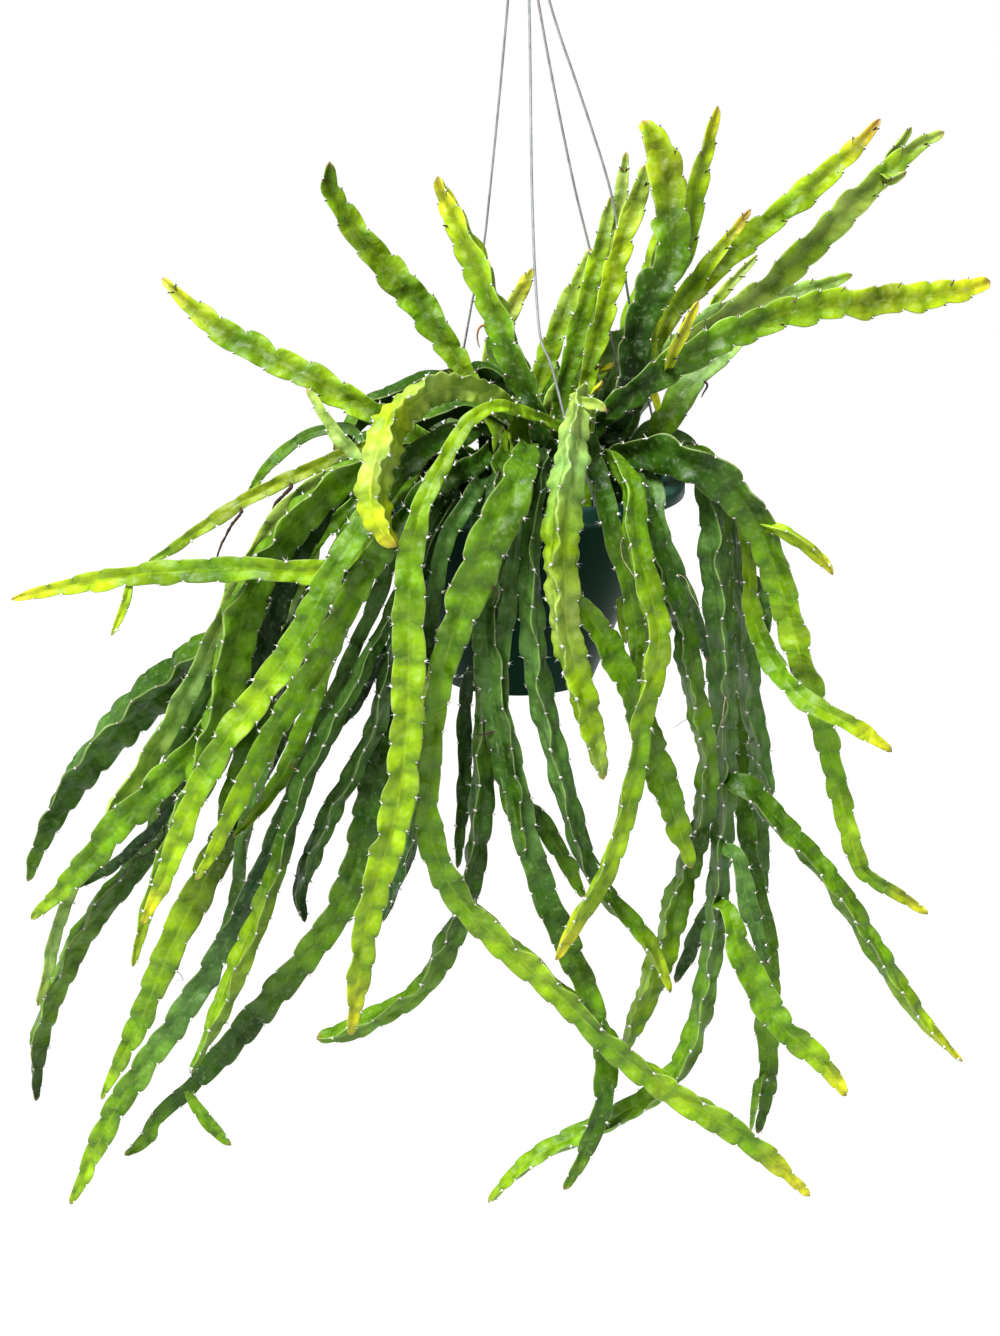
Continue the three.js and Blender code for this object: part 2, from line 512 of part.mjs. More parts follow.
// Stems behind, out of the picture's sight: the plant is full on every side.
const BACK_STEMS = [
  {
    turn: 0,
    path: [[-20, 36, 70, 9], [-30, 38, 105, 14], [-40, 20, 135, 18], [-46, -10, 150, 18],
      [-50, -45, 155, 18], [-53, -80, 158, 17], [-58, -115, 160, 14], [-62, -150, 160, 0]],
  },
  {
    turn: 0,
    path: [[10, 38, 75, 9], [8, 40, 108, 14], [6, 22, 138, 18], [4, -8, 152, 18],
      [6, -44, 158, 18], [10, -80, 160, 16], [12, -110, 160, 14], [16, -145, 160, 0]],
  },
  {
    turn: 0,
    path: [[40, 36, 70, 9], [46, 38, 102, 14], [52, 20, 132, 18], [60, -10, 146, 18],
      [66, -44, 150, 18], [72, -80, 152, 16], [76, -112, 152, 13], [80, -140, 152, 0]],
  },
  {
    turn: 0,
    path: [[-50, 30, 30, 9], [-80, 28, 50, 13], [-104, 10, 62, 16], [-120, -16, 68, 17],
      [-130, -46, 70, 17], [-138, -78, 70, 16], [-146, -110, 70, 14], [-156, -144, 70, 0]],
  },
  {
    turn: 0,
    path: [[80, 30, 40, 9], [104, 16, 58, 13], [118, -8, 66, 15], [124, -36, 68, 16],
      [126, -66, 70, 16], [127, -96, 70, 15], [127, -130, 70, 13], [127, -165, 70, 0]],
  },
  {
    turn: 0,
    path: [[50, 50, 60, 9], [60, 70, 80, 14], [68, 90, 92, 15], [74, 110, 100, 14],
      [82, 130, 104, 12], [88, 150, 106, 10], [92, 172, 108, 0]],
  },
];

// Wires: headings of the hole in the rim and of the one in the collar, in degrees counted from the
// front over the right, and the way up as points [u, v, y].
const WIRES = [
  {
    name: "wire_back_left",
    heading: 212,
    collar: 212,
    path: [[-6.1, 291.6, 16], [-17.1, 175.7, 40], [-21.4, 139, 49], [-27.5, 110, 56],
      [-36.6, 62, 69]],
  },
  {
    name: "wire_front_right",
    heading: 26,
    collar: 26,
    path: [[6.7, 291.6, -16], [8.5, 175.7, -43], [11, 114.7, -59], [14.5, 82, -67], [19.5, 71, -70],
      [25.6, 48, -75], [29.3, 34, -78]],
  },
  {
    name: "wire_back_right",
    heading: 128,
    collar: 150,
    path: [[12.2, 291.6, 11], [33.5, 181.8, 29], [43.9, 139, 36], [58, 80, 46]],
  },
  {
    name: "wire_right",
    heading: 110,
    collar: 90,
    path: [[19, 291.6, 6], [40, 228, 12], [57.3, 171.4, 17], [67.7, 108, 22], [78, 55, 27]],
  },
];

const steel = new THREE.MeshStandardMaterial({ color: 0xa9adb0, metalness: 0.9, roughness: 0.4 });
const plastic = new THREE.MeshStandardMaterial({ color: 0x1f3f44, roughness: 0.4 });
const peat = new THREE.MeshStandardMaterial({ color: 0x3a2a1e, roughness: 0.95 });
const brightGreen = new THREE.MeshStandardMaterial({ color: 0x9cbc3a, roughness: 0.5 });
const deepGreen = new THREE.MeshStandardMaterial({ color: 0x5f8a45, roughness: 0.5 });

const root = new THREE.Group();

function solidFrom(points, faces) {
  const flat = new Float32Array(points.flatMap((p) => [p.x, p.y, p.z]));
  const triVerts = new Uint32Array(faces.flat());
  return new Manifold(new wasm.Mesh({ numProp: 3, vertProperties: flat, triVerts }));
}

// A three.js geometry standing along Y becomes a solid standing along Z, ready to be joined and cut.
function solidOf(geometry) {
  geometry.rotateX(Math.PI / 2);
  geometry.deleteAttribute("normal");
  geometry.deleteAttribute("uv");
  const merged = mergeVertices(geometry, MERGE_REACH);
  const corners = merged.index.array;
  const triVerts = [];
  for (let i = 0; i < corners.length; i += 3) {
    const [a, b, c] = corners.slice(i, i + 3);
    if (a !== b && b !== c && c !== a) {
      triVerts.push(a, b, c);
    }
  }
  const vertProperties = merged.attributes.position.array;
  return new Manifold(
    new wasm.Mesh({ numProp: 3, vertProperties, triVerts: new Uint32Array(triVerts) }),
  );
}

function turned(profile, sides) {
  const points = profile.map(([radius, z]) => new THREE.Vector2(radius, z));
  return solidOf(new THREE.LatheGeometry(points, sides));
}

function disc(radius, height, sides, at) {
  const solid = solidOf(new THREE.CylinderGeometry(radius, radius, height, sides));
  return solid.translate([at.x, at.y, at.z]);
}

function addMesh(name, solid, material) {
  const made = solid.getMesh();
  const positions = new Float32Array(made.numVert * 3);
  for (let i = 0; i < made.numVert; i++) {
    positions.set(made.vertProperties.subarray(i * made.numProp, i * made.numProp + 3), i * 3);
  }
  const geometry = new THREE.BufferGeometry();
  geometry.setAttribute("position", new THREE.BufferAttribute(positions, 3));
  geometry.setIndex(new THREE.BufferAttribute(new Uint32Array(made.triVerts), 1));
  geometry.computeVertexNormals();
  const mesh = new THREE.Mesh(geometry, material);
  mesh.name = name;
  root.add(mesh);
}

// A closed skin over rings of equal length, with a point at each end.
function loftSolid(start, rings, end) {
  const count = rings[0].length;
  const points = [start, ...rings.flat(), end];
  const faces = [];
  const at = (ring, k) => 1 + ring * count + (k % count);
  for (let k = 0; k < count; k++) {
    faces.push([0, at(0, k + 1), at(0, k)]);
    faces.push([points.length - 1, at(rings.length - 1, k), at(rings.length - 1, k + 1)]);
  }
  for (let ring = 0; ring + 1 < rings.length; ring++) {
    for (let k = 0; k < count; k++) {
      faces.push([at(ring, k), at(ring, k + 1), at(ring + 1, k + 1)]);
      faces.push([at(ring, k), at(ring + 1, k + 1), at(ring + 1, k)]);
    }
  }
  return solidFrom(points, faces);
}

// Tangents, and side directions carried along the line without twist from its middle.
function framesAlong(points, facing) {
  const last = points.length - 1;
  const tangents = points.map((_, i) =>
    points[Math.min(i + 1, last)].clone().sub(points[Math.max(i - 1, 0)]).normalize(),
  );
  const middle = Math.floor(points.length / 2);
  const sides = [];
  const flattened = (v, t) => v.clone().addScaledVector(t, -v.dot(t)).normalize();
  sides[middle] = flattened(facing, tangents[middle]);
  for (let i = middle + 1; i <= last; i++) {
    sides[i] = flattened(sides[i - 1], tangents[i]);
  }
  for (let i = middle - 1; i >= 0; i--) {
    sides[i] = flattened(sides[i + 1], tangents[i]);
  }
  return points.map((_, i) => ({
    tangent: tangents[i],
    side: sides[i],
    across: new THREE.Vector3().crossVectors(tangents[i], sides[i]),
  }));
}

function ringAt(centre, frame, radii, turn) {
  return radii.map((radius, k) => {
    const angle = turn + (k * 2 * Math.PI) / radii.length;
    return centre
      .clone()
      .addScaledVector(frame.side, radius * Math.cos(angle))
      .addScaledVector(frame.across, radius * Math.sin(angle));
  });
}

function tubeSolid(controls, radius, sides, steps) {
  const curve = new THREE.CatmullRomCurve3(controls, false, "centripetal");
  const points = curve.getPoints((controls.length - 1) * steps);
  const frames = framesAlong(points, new THREE.Vector3(0.36, -0.93, 0.05));
  const radii = Array(sides).fill(radius);
  const rings = points.map((p, i) => ringAt(p, frames[i], radii, 0.2));
  const start = points[0].clone().addScaledVector(frames[0].tangent, -radius * 0.5);
  const end = points.at(-1).clone().addScaledVector(frames.at(-1).tangent, radius * 0.5);
  return loftSolid(start, rings, end);
}

// Basket: revolved wall with a flared rim, wire holes and drain holes.
const wallTop = [WALL_TOP_RADIUS, RIM_Z - WALL_TOP_DROP];
const baseZ = RIM_Z - POT_HEIGHT;
const innerTop = WALL_TOP_RADIUS - WALL_THICK;
const innerBase = BASE_RADIUS - WALL_THICK + 1;
const potProfile = [
  [0, baseZ],
  [BASE_RADIUS - 2.5, baseZ],
  [BASE_RADIUS, baseZ + 2.5],
  wallTop,
  [WALL_TOP_RADIUS + 5, RIM_Z - 9],
  [RIM_RADIUS - 3, RIM_Z - 7],
  [RIM_RADIUS, RIM_Z - 6],
  [RIM_RADIUS, RIM_Z - 1],
  [RIM_RADIUS - 1, RIM_Z],
  [WALL_TOP_RADIUS + 1.5, RIM_Z],
  [WALL_TOP_RADIUS - 1, RIM_Z - 2],
  [innerTop, RIM_Z - WALL_TOP_DROP],
  [innerBase, baseZ + 5],
  [innerBase - 2, baseZ + 3],
  [0, baseZ + 3],
];
let pot = turned(potProfile, 64);
for (let i = 0; i < DRAIN_HOLES; i++) {
  const angle = (i * 2 * Math.PI) / DRAIN_HOLES;
  const at = new THREE.Vector3(DRAIN_RING * Math.cos(angle), DRAIN_RING * Math.sin(angle), baseZ);
  pot = pot.subtract(disc(DRAIN_RADIUS, HOLE_CUT, 12, at));
}
const rimHoles = WIRES.map(({ heading }) => {
  const angle = THREE.MathUtils.degToRad(heading);
  return new THREE.Vector3(WIRE_RING * Math.sin(angle), -WIRE_RING * Math.cos(angle), RIM_Z);
});
for (const at of rimHoles) {
  pot = pot.subtract(disc(WIRE_HOLE_RADIUS, HOLE_CUT, 12, at));
}
addMesh("pot", pot, plastic);

// Soil: fills the basket up to a level under the rim.
const soilZ = RIM_Z - SOIL_DROP;
const wallSlope = (innerTop - innerBase) / (POT_HEIGHT - 5 - WALL_TOP_DROP);
const soilTopRadius = innerTop - (SOIL_DROP - WALL_TOP_DROP) * wallSlope - SEAT_GAP;
const soilProfile = [
  [0, baseZ + 3 + SEAT_GAP],
  [innerBase - 2.6, baseZ + 3 + SEAT_GAP],
  [innerBase - SEAT_GAP, baseZ + 5.6],
  [soilTopRadius, soilZ],
  [0, soilZ],
];
addMesh("soil", turned(soilProfile, 48), peat);

// Hook: a steel wire bent over, its shank pressed into the collar.
const loopZ = -HOOK_INNER_RADIUS;
const loopRadius = HOOK_INNER_RADIUS + HOOK_WIRE_RADIUS;
const hookPath = [new THREE.Vector3(0, 0, COLLAR_Z), new THREE.Vector3(0, 0, COLLAR_Z + 8)];
hookPath.push(new THREE.Vector3(1.5, 0, loopZ - loopRadius - 3));
for (let degrees = -62; degrees <= 205; degrees += 24) {
  const angle = THREE.MathUtils.degToRad(degrees);
  hookPath.push(
    new THREE.Vector3(loopRadius * Math.cos(angle), 0, loopZ + loopRadius * Math.sin(angle)),
  );
}
hookPath.push(new THREE.Vector3(-loopRadius - 4, 0, loopZ - 10));
let hook = tubeSolid(hookPath, HOOK_WIRE_RADIUS, 8, 2);
const collarCentre = new THREE.Vector3(0, 0, COLLAR_Z);
hook = hook.add(disc(COLLAR_RADIUS, COLLAR_THICK, 28, collarCentre));
const collarHoles = WIRES.map((wire) => {
  const angle = THREE.MathUtils.degToRad(wire.collar);
  return new THREE.Vector3(COLLAR_RING * Math.sin(angle), -COLLAR_RING * Math.cos(angle), COLLAR_Z);
});
for (const at of collarHoles) {
  hook = hook.subtract(disc(COLLAR_HOLE_RADIUS, COLLAR_THICK + 6, 10, at));
}
addMesh("hanger_hook", hook, steel);

// Wires: a bent end on the collar, the long way down, a bent end under the rim.
const wireChains = [];
WIRES.forEach(({ name, path }, i) => {
  const top = collarHoles[i];
  const out = new THREE.Vector3(top.x, top.y, 0).normalize();
  const collarTop = COLLAR_Z + COLLAR_THICK / 2 + WIRE_RADIUS + SEAT_GAP;
  const hole = rimHoles[i];
  const rimOut = new THREE.Vector3(hole.x, hole.y, 0).normalize();
  const controls = [
    new THREE.Vector3(top.x, top.y, collarTop + 0.3).addScaledVector(out, 2.6),
    new THREE.Vector3(top.x, top.y, collarTop).addScaledVector(out, 1.2),
    new THREE.Vector3(top.x, top.y, COLLAR_Z + 1),
    new THREE.Vector3(top.x, top.y, COLLAR_Z - 5),
    ...path.map(sightPoint),
    new THREE.Vector3(hole.x, hole.y, RIM_Z + 3),
    new THREE.Vector3(hole.x, hole.y, RIM_Z - 7),
    new THREE.Vector3(hole.x, hole.y, RIM_Z - 8.4).addScaledVector(rimOut, 0.5),
    new THREE.Vector3(hole.x, hole.y, RIM_Z - 8.6).addScaledVector(rimOut, 2.4),
    new THREE.Vector3(hole.x, hole.y, RIM_Z - 8.4).addScaledVector(rimOut, 4.6),
  ];
  addMesh(name, tubeSolid(controls, WIRE_RADIUS, 6, 3), steel);
  const curve = new THREE.CatmullRomCurve3(controls, false, "centripetal");
  wireChains.push(curve.getSpacedPoints(60).map((p) => ({ p, r: WIRE_RADIUS })));
});

// A chain is one limb of a stem: points a few millimetres apart, each with its radius.
function chainOf(points, widths) {
  const curve = new THREE.CatmullRomCurve3(points, false, "centripetal");
  const reach = [0];
  for (let i = 1; i < points.length; i++) {
    reach.push(reach[i - 1] + points[i].distanceTo(points[i - 1]));
  }
  const count = Math.max(6, Math.round(curve.getLength() / SAMPLE));
  const samples = [];
  for (let i = 0; i <= count; i++) {
    const p = curve.getPointAt(i / count);
    const s = (reach.at(-1) * i) / count;
    let k = 0;
    while (k < points.length - 2 && reach[k + 1] < s) {
      k += 1;
    }
    const share = (s - reach[k]) / (reach[k + 1] - reach[k]);
    const w = widths[k] + (widths[k + 1] - widths[k]) * share;
    const r = (w * WING_SHARE * rangeOf(p)) / PLANE;
    const sight = p.clone().sub(eye).normalize();
    const moved = new THREE.Vector3();
    samples.push({ start: p.clone(), p, r, sight, push: 0, moved, aside: new THREE.Vector3() });
  }
  return samples;
}

function tipWidths(path) {
  const widths = path.map((point) => point[3]);
  widths[widths.length - 1] = 2;
  return widths;
}

// Roots stand in the soil under the start of each stem, kept apart from one another.
const allStems = [
  ...TOP_STEMS.map((stem, i) => ({ ...stem, name: "stem_top_" + (i + 1) })),
  ...FRONT_STEMS.map((stem, i) => ({ ...stem, name: "stem_front_" + (i + 1) })),
  ...LEFT_STEMS.map((stem, i) => ({ ...stem, name: "stem_left_" + (i + 1) })),
  ...BACK_STEMS.map((stem, i) => ({ ...stem, name: "stem_back_" + (i + 1) })),
];
const roots = allStems.map(({ path }) => {
  const first = sightPoint(path[0]);
  const reach = Math.hypot(first.x, first.y);
  const share = Math.min(0.85, ROOT_REACH / reach);
  return new THREE.Vector2(first.x * share, first.y * share);
});
for (let round = 0; round < 400; round++) {
  roots.forEach((a, i) => {
    roots.slice(i + 1).forEach((b) => {
      const apart = b.clone().sub(a);
      const lack = ROOT_SPACING - apart.length();
      if (lack > 0) {
        apart.setLength(lack * 0.5);
        a.sub(apart);
        b.add(apart);
      }
    });
    if (a.length() > ROOT_REACH + 10) {
      a.setLength(ROOT_REACH + 10);
    }
  });
}

allStems.forEach((stem, i) => {
  const foot = new THREE.Vector3(roots[i].x, roots[i].y, soilZ + SEAT_GAP);
  const neck = foot.clone().setZ(soilZ + 9);
  const points = [foot, neck, ...stem.path.map(sightPoint)];
  stem.chains = [chainOf(points, [ROOT_WIDTH, ROOT_WIDTH, ...tipWidths(stem.path)])];
  for (const limb of stem.limbs ?? []) {
    const first = sightPoint(limb[0]);
    const main = stem.chains[0];
    const near = main.map(({ p }) => {
      const along = p.clone().sub(eye).normalize().dot(first.clone().sub(eye).normalize());
      return Math.acos(Math.min(1, along)) * PLANE;
    });
    const at = near.indexOf(Math.min(...near));
    const widths = tipWidths(limb);
    const chain = chainOf([main[at].p.clone(), ...limb.map(sightPoint)], [widths[0], ...widths]);
    chain.parent = main[at];
    stem.chains.push(chain);
  }
});

// Crowded stems give way along the line of sight, so that the picture stays the same.
function needed(a, b) {
  return (a.r + b.r) * CROWDING_SHARE + CLEARANCE;
}

function giveWay(a, b, shareOfA, shareOfB) {
  const dx = b.p.x - a.p.x;
  const dy = b.p.y - a.p.y;
  const dz = b.p.z - a.p.z;
  const reach = needed(a, b);
  const square = dx * dx + dy * dy + dz * dz;
  if (square >= reach * reach) {
    return;
  }
  const depth = dx * a.sight.x + dy * a.sight.y + dz * a.sight.z;
  const beside = Math.max(0, square - depth * depth);
  const lack = Math.sqrt(reach * reach - beside) - Math.abs(depth);
  const [front, back] = depth >= 0 ? ["nearer", "farther"] : ["farther", "nearer"];
  a[front] = Math.max(a[front], lack * shareOfA);
  if (shareOfB > 0) {
    b[back] = Math.max(b[back], lack * shareOfB);
    const side = Math.sqrt(beside) || 1;
    const way = new THREE.Vector3(dx, dy, dz).addScaledVector(a.sight, -depth);
    a.aside.addScaledVector(way, (-lack * SIDE_GIVE) / side);
    b.aside.addScaledVector(way, (lack * SIDE_GIVE) / side);
  }
}

function boundsOf(chain) {
  const box = new THREE.Box3().setFromPoints(chain.map(({ p }) => p));
  return box.expandByScalar(Math.max(...chain.map(({ r }) => r)) + CLEARANCE);
}

const wireBounds = wireChains.map(boundsOf);
const chains = allStems.flatMap((stem) => stem.chains.map((chain) => ({ stem, chain })));
for (let round = 0; round < ROUNDS; round++) {
  const ease = 0.5 * (1 - round / ROUNDS);
  for (const entry of chains) {
    entry.box = boundsOf(entry.chain);
    entry.chain.forEach((sample) => {
      sample.nearer = 0;
      sample.farther = 0;
      sample.aside.set(0, 0, 0);
    });
  }
  chains.forEach((first, i) => {
    chains.slice(i + 1).forEach((second) => {
      if (first.stem === second.stem || !first.box.intersectsBox(second.box)) {
        return;
      }
      for (const a of first.chain) {
        for (const b of second.chain) {
          giveWay(a, b, 0.3, 0.3);
        }
      }
    });
    wireChains.forEach((wire, k) => {
      if (first.box.intersectsBox(wireBounds[k])) {
        for (const a of first.chain) {
          for (const b of wire) {
            giveWay(a, b, 0.6, 0);
          }
        }
      }
    });
  });
  for (const { chain } of chains) {
    const last = chain.length - 1;
    chain.forEach((sample, k) => {
      const hold = chain.parent ? 1 : Math.min(1, k / 5);
      sample.push += (sample.farther - sample.nearer) * hold;
      const give = chain.parent || k === 0 ? 0 : Math.max(0, 1 - k / FOOT_SAMPLES);
      sample.moved.addScaledVector(sample.aside.clampLength(0, 1), give);
    });
    if (chain.parent) {
      chain[0].push = chain.parent.push;
      chain[0].moved.copy(chain.parent.moved);
    }
    const eased = chain.map((sample, k) => {
      const before = chain[Math.max(k - 1, 0)].push;
      const after = chain[Math.min(k + 1, last)].push;
      return k === 0 ? sample.push : sample.push * (1 - ease) + (before + after) * 0.5 * ease;
    });
    chain.forEach((sample, k) => {
      sample.push = eased[k];
      sample.p.copy(sample.start).addScaledVector(sample.sight, sample.push).add(sample.moved);
    });
    for (const sample of chain) {
      keepOffPot(sample);
    }
  }
}

// What is still too close after that is made a little narrower.
const slim = new Map();
chains.forEach((first, i) => {
  chains.slice(i + 1).forEach((second) => {
    if (first.stem === second.stem || !boundsOf(first.chain).intersectsBox(boundsOf(second.chain))) {
      return;
    }
    for (const a of first.chain) {
      for (const b of second.chain) {
        const share = (a.p.distanceTo(b.p) - 1.5) / (a.r + b.r);
        for (const sample of share < 1 ? [a, b] : []) {
          slim.set(sample, Math.max(LEAST_SHARE, Math.min(slim.get(sample) ?? 1, share)));
        }
      }
    }
  });
});
for (const { chain } of chains) {
  const shares = chain.map((sample) => slim.get(sample) ?? 1);
  chain.forEach((sample, k) => {
    const before = shares[Math.max(k - 1, 0)];
    const after = shares[Math.min(k + 1, chain.length - 1)];
    sample.r *= Math.min(shares[k], (before + after) * 0.5 + 0.1);
  });
}

// Outside the basket a stem stays clear of the wall and the rim; inside it stays off the wall.
function keepOffPot(sample) {
  const { p, r } = sample;
  const drop = RIM_Z - p.z;
  const gap = r + CLEARANCE * 1.5;
  if (drop < -gap || drop > POT_HEIGHT + gap) {
    return;
  }
  const across = Math.hypot(p.x, p.y);
  const nearRim = drop < WALL_TOP_DROP + gap * 0.5;
  const slope = (WALL_TOP_RADIUS - BASE_RADIUS) / (POT_HEIGHT - WALL_TOP_DROP);
  const wall = nearRim ? RIM_RADIUS : WALL_TOP_RADIUS - (drop - WALL_TOP_DROP) * slope;
  let wanted = across;
  if (across < WALL_TOP_RADIUS - 6 && drop < SOIL_DROP + 2) {
    wanted = Math.min(across, innerTop - gap);
  } else {
    wanted = Math.max(across, wall + gap);
  }
  if (across > 0 && wanted !== across) {
    const lift = drop < 6 && across > WALL_TOP_RADIUS - 8 && across < RIM_RADIUS - 4;
    if (lift) {
      p.z = RIM_Z + gap;
    } else {
      p.x *= wanted / across;
      p.y *= wanted / across;
    }
  }
}

// Each limb becomes a three-winged star carried along its chain.
function limbSolid(chain, turn) {
  const kept = [chain[0]];
  const heading = (i) => chain[i + 1].p.clone().sub(chain[i].p);
  let from = 0;
  for (let i = 1; i < chain.length - 1; i++) {
    const far = chain[i].p.distanceTo(kept.at(-1).p) > STATION_REACH;
    const bent = heading(i).angleTo(heading(from)) > STATION_BEND;
    if (far || bent || i === chain.length - 2) {
      kept.push(chain[i]);
      from = i;
    }
  }
  const points = [...kept.map(({ p }) => p), chain.at(-1).p];
  const frames = framesAlong(points, kept[0].sight.clone().negate());
  const rings = kept.map(({ p, r }, i) => {
    const radii = [r, r * VALLEY_SHARE, r, r * VALLEY_SHARE, r, r * VALLEY_SHARE];
    const centre = i === 0 ? p.clone().addScaledVector(frames[0].tangent, 2) : p;
    return ringAt(centre, frames[i], radii, THREE.MathUtils.degToRad(turn));
  });
  return loftSolid(kept[0].p, rings, points.at(-1));
}

for (const stem of allStems) {
  const solids = stem.chains.map((chain, i) => limbSolid(chain, stem.turn + 20 * i));
  const solid = solids.slice(1).reduce((sum, limb) => sum.add(limb), solids[0]);
  const bright = stem.turn > 90;
  addMesh(stem.name, solid, bright ? brightGreen : deepGreen);
}

export default root;
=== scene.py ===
import math

import bmesh
import bpy
import numpy as np
from mathutils import Matrix, Vector
from mathutils import noise as field


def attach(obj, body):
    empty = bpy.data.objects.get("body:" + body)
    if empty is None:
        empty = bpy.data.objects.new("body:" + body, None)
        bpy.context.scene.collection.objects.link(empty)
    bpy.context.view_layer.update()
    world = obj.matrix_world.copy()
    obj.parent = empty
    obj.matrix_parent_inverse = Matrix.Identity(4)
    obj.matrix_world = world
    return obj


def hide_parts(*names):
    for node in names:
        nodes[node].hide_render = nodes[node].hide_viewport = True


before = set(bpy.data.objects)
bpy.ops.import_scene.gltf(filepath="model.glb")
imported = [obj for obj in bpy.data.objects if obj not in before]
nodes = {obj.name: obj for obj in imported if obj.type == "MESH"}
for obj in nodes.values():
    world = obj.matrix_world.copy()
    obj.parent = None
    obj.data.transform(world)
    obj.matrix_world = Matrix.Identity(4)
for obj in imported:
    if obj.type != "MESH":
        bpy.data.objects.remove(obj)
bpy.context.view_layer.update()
MM = 0.001


# Hanger hook: a 3.6 mm zinc-plated steel wire bent into an open loop, its shank pressed through a
# stamped steel collar with four small holes, in which the upper ends of the basket's wires sit.
HOOK_WIRE_RADIUS = 1.8 * MM
HOOK_LOOP_RADIUS = 15.8 * MM
HOOK_CENTRE_Z = -14 * MM
COLLAR_Z = -48 * MM
COLLAR_RADIUS = 8 * MM
COLLAR_THICK = 4 * MM
COLLAR_RING = 4.8 * MM
COLLAR_HOLE_RADIUS = 1.2 * MM
COLLAR_HEADINGS = [212, 26, 150, 90]
CUT_END_SHARE = 0.6


def shade(hex_colour):
    """A colour written as it looks on paper, in the linear values that a shader takes."""
    parts = [int(hex_colour[i:i + 2], 16) / 255 for i in (1, 3, 5)]
    return (*[c / 12.92 if c <= 0.04045 else ((c + 0.055) / 1.055) ** 2.4 for c in parts], 1.0)


def tangents_of(line):
    """The direction of a line at each of its points."""
    tangents = np.gradient(line, axis=0)
    return tangents / np.linalg.norm(tangents, axis=1)[:, None]


def length_along(points, power=1.0):
    """The length of a line up to each of its points, with each step raised to a power."""
    return np.concatenate([[0], np.cumsum(np.linalg.norm(np.diff(points, axis=0), axis=1) ** power)])


def side_directions(points, facing):
    """Two directions square to a line at each of its points, carried along it without twist."""
    tangents = tangents_of(points)
    sides = np.empty_like(points)
    side = np.array(facing, float)
    for i, tangent in enumerate(tangents):
        side = side - tangent * side.dot(tangent)
        side /= np.linalg.norm(side)
        sides[i] = side
    return sides, np.cross(tangents, sides)


def rounded_line(points, step):
    """A smooth line through some points, with a point every step, and the length up to each of them."""
    points = np.asarray(points, float)
    reach = length_along(points, 0.5)
    slopes = np.empty_like(points)
    spans = np.diff(reach)[:, None]
    steps = np.diff(points, axis=0) / spans
    slopes[1:-1] = (steps[:-1] * spans[1:] + steps[1:] * spans[:-1]) / (spans[1:] + spans[:-1])
    slopes[0] = 1.5 * steps[0] - 0.5 * slopes[1] if len(points) > 2 else steps[0]
    slopes[-1] = 1.5 * steps[-1] - 0.5 * slopes[-2] if len(points) > 2 else steps[-1]
    t = np.linspace(0, 1, 24, endpoint=False)[:, None]
    pieces = [
        (2 * t**3 - 3 * t**2 + 1) * points[i] + (t**3 - 2 * t**2 + t) * spans[i] * slopes[i]
        + (3 * t**2 - 2 * t**3) * points[i + 1] + (t**3 - t**2) * spans[i] * slopes[i + 1]
        for i in range(len(points) - 1)
    ]
    dense = np.vstack([*pieces, points[-1:]])
    length = length_along(dense)
    at = np.linspace(0, length[-1], max(3, int(round(length[-1] / step)) + 1))
    return np.column_stack([np.interp(at, length, dense[:, k]) for k in range(3)]), at


def skin_faces(rings, around):
    """Faces of a closed skin over rings of equal length, with a flat cap at each end."""
    faces = []
    for start in range(0, (rings - 1) * around, around):
        for k in range(around):
            a = start + k
            b = start + (k + 1) % around
            faces.append((a, b, b + around, a + around))
    faces.append(tuple(reversed(range(around))))
    faces.append(tuple(range((rings - 1) * around, rings * around)))
    return faces


def drawn_wire(points, radius, sides, step, facing=(0.36, -0.93, 0.05), far_share=1.0):
    """Points and faces of a round wire along a line, its cut ends narrowed."""
    line, _ = rounded_line(points, step)
    side, across = side_directions(line, facing)
    reach = radius * np.linspace(1.0, far_share, len(line))
    reach[[0, -1]] *= CUT_END_SHARE
    angles = (np.arange(sides) * 2 * math.pi / sides)[None, :, None]
    ring = np.cos(angles) * side[:, None] + np.sin(angles) * across[:, None]
    verts = (line[:, None] + ring * reach[:, None, None]).reshape(-1, 3)
    return verts, skin_faces(len(line), sides)


def placed(name, data):
    """A new object in the scene."""
    thing = bpy.data.objects.new(name, data)
    bpy.context.scene.collection.objects.link(thing)
    return thing


def new_piece(name, verts, faces, *finishes, kinds=None, smooth=True):
    """A mesh object from points and faces, with its finishes and the number of each face's finish."""
    mesh = bpy.data.meshes.new(name)
    mesh.from_pydata([tuple(map(float, v)) for v in verts], [], faces)
    mesh.validate()
    piece = placed(name, mesh)
    for finish in finishes:
        mesh.materials.append(finish)
    mesh.polygons.foreach_set("use_smooth", [smooth] * len(mesh.polygons))
    if kinds:
        mesh.polygons.foreach_set("material_index", kinds)
    mesh.update()
    return piece


def turned(profile, sides):
    """Points and faces of a closed outline turned about the vertical axis; its ends lie on the axis."""
    outline = profile[1:-1]
    angles = np.arange(sides) * 2 * math.pi / sides
    verts = [(r * math.cos(a), r * math.sin(a), z) for r, z in outline for a in angles]
    verts += [(0, 0, profile[0][1]), (0, 0, profile[-1][1])]
    faces = skin_faces(len(outline), sides)[:-2]
    last = (len(outline) - 1) * sides
    for k in range(sides):
        j = (k + 1) % sides
        faces.append((j, k, len(verts) - 2))
        faces.append((last + k, last + j, len(verts) - 1))
    return verts, faces


def places_round(radius, z, headings):
    """Places on a level ring, at headings in degrees counted from the viewer's side."""
    turns = [math.radians(heading) for heading in headings]
    return [(radius * math.sin(turn), -radius * math.cos(turn), z) for turn in turns]


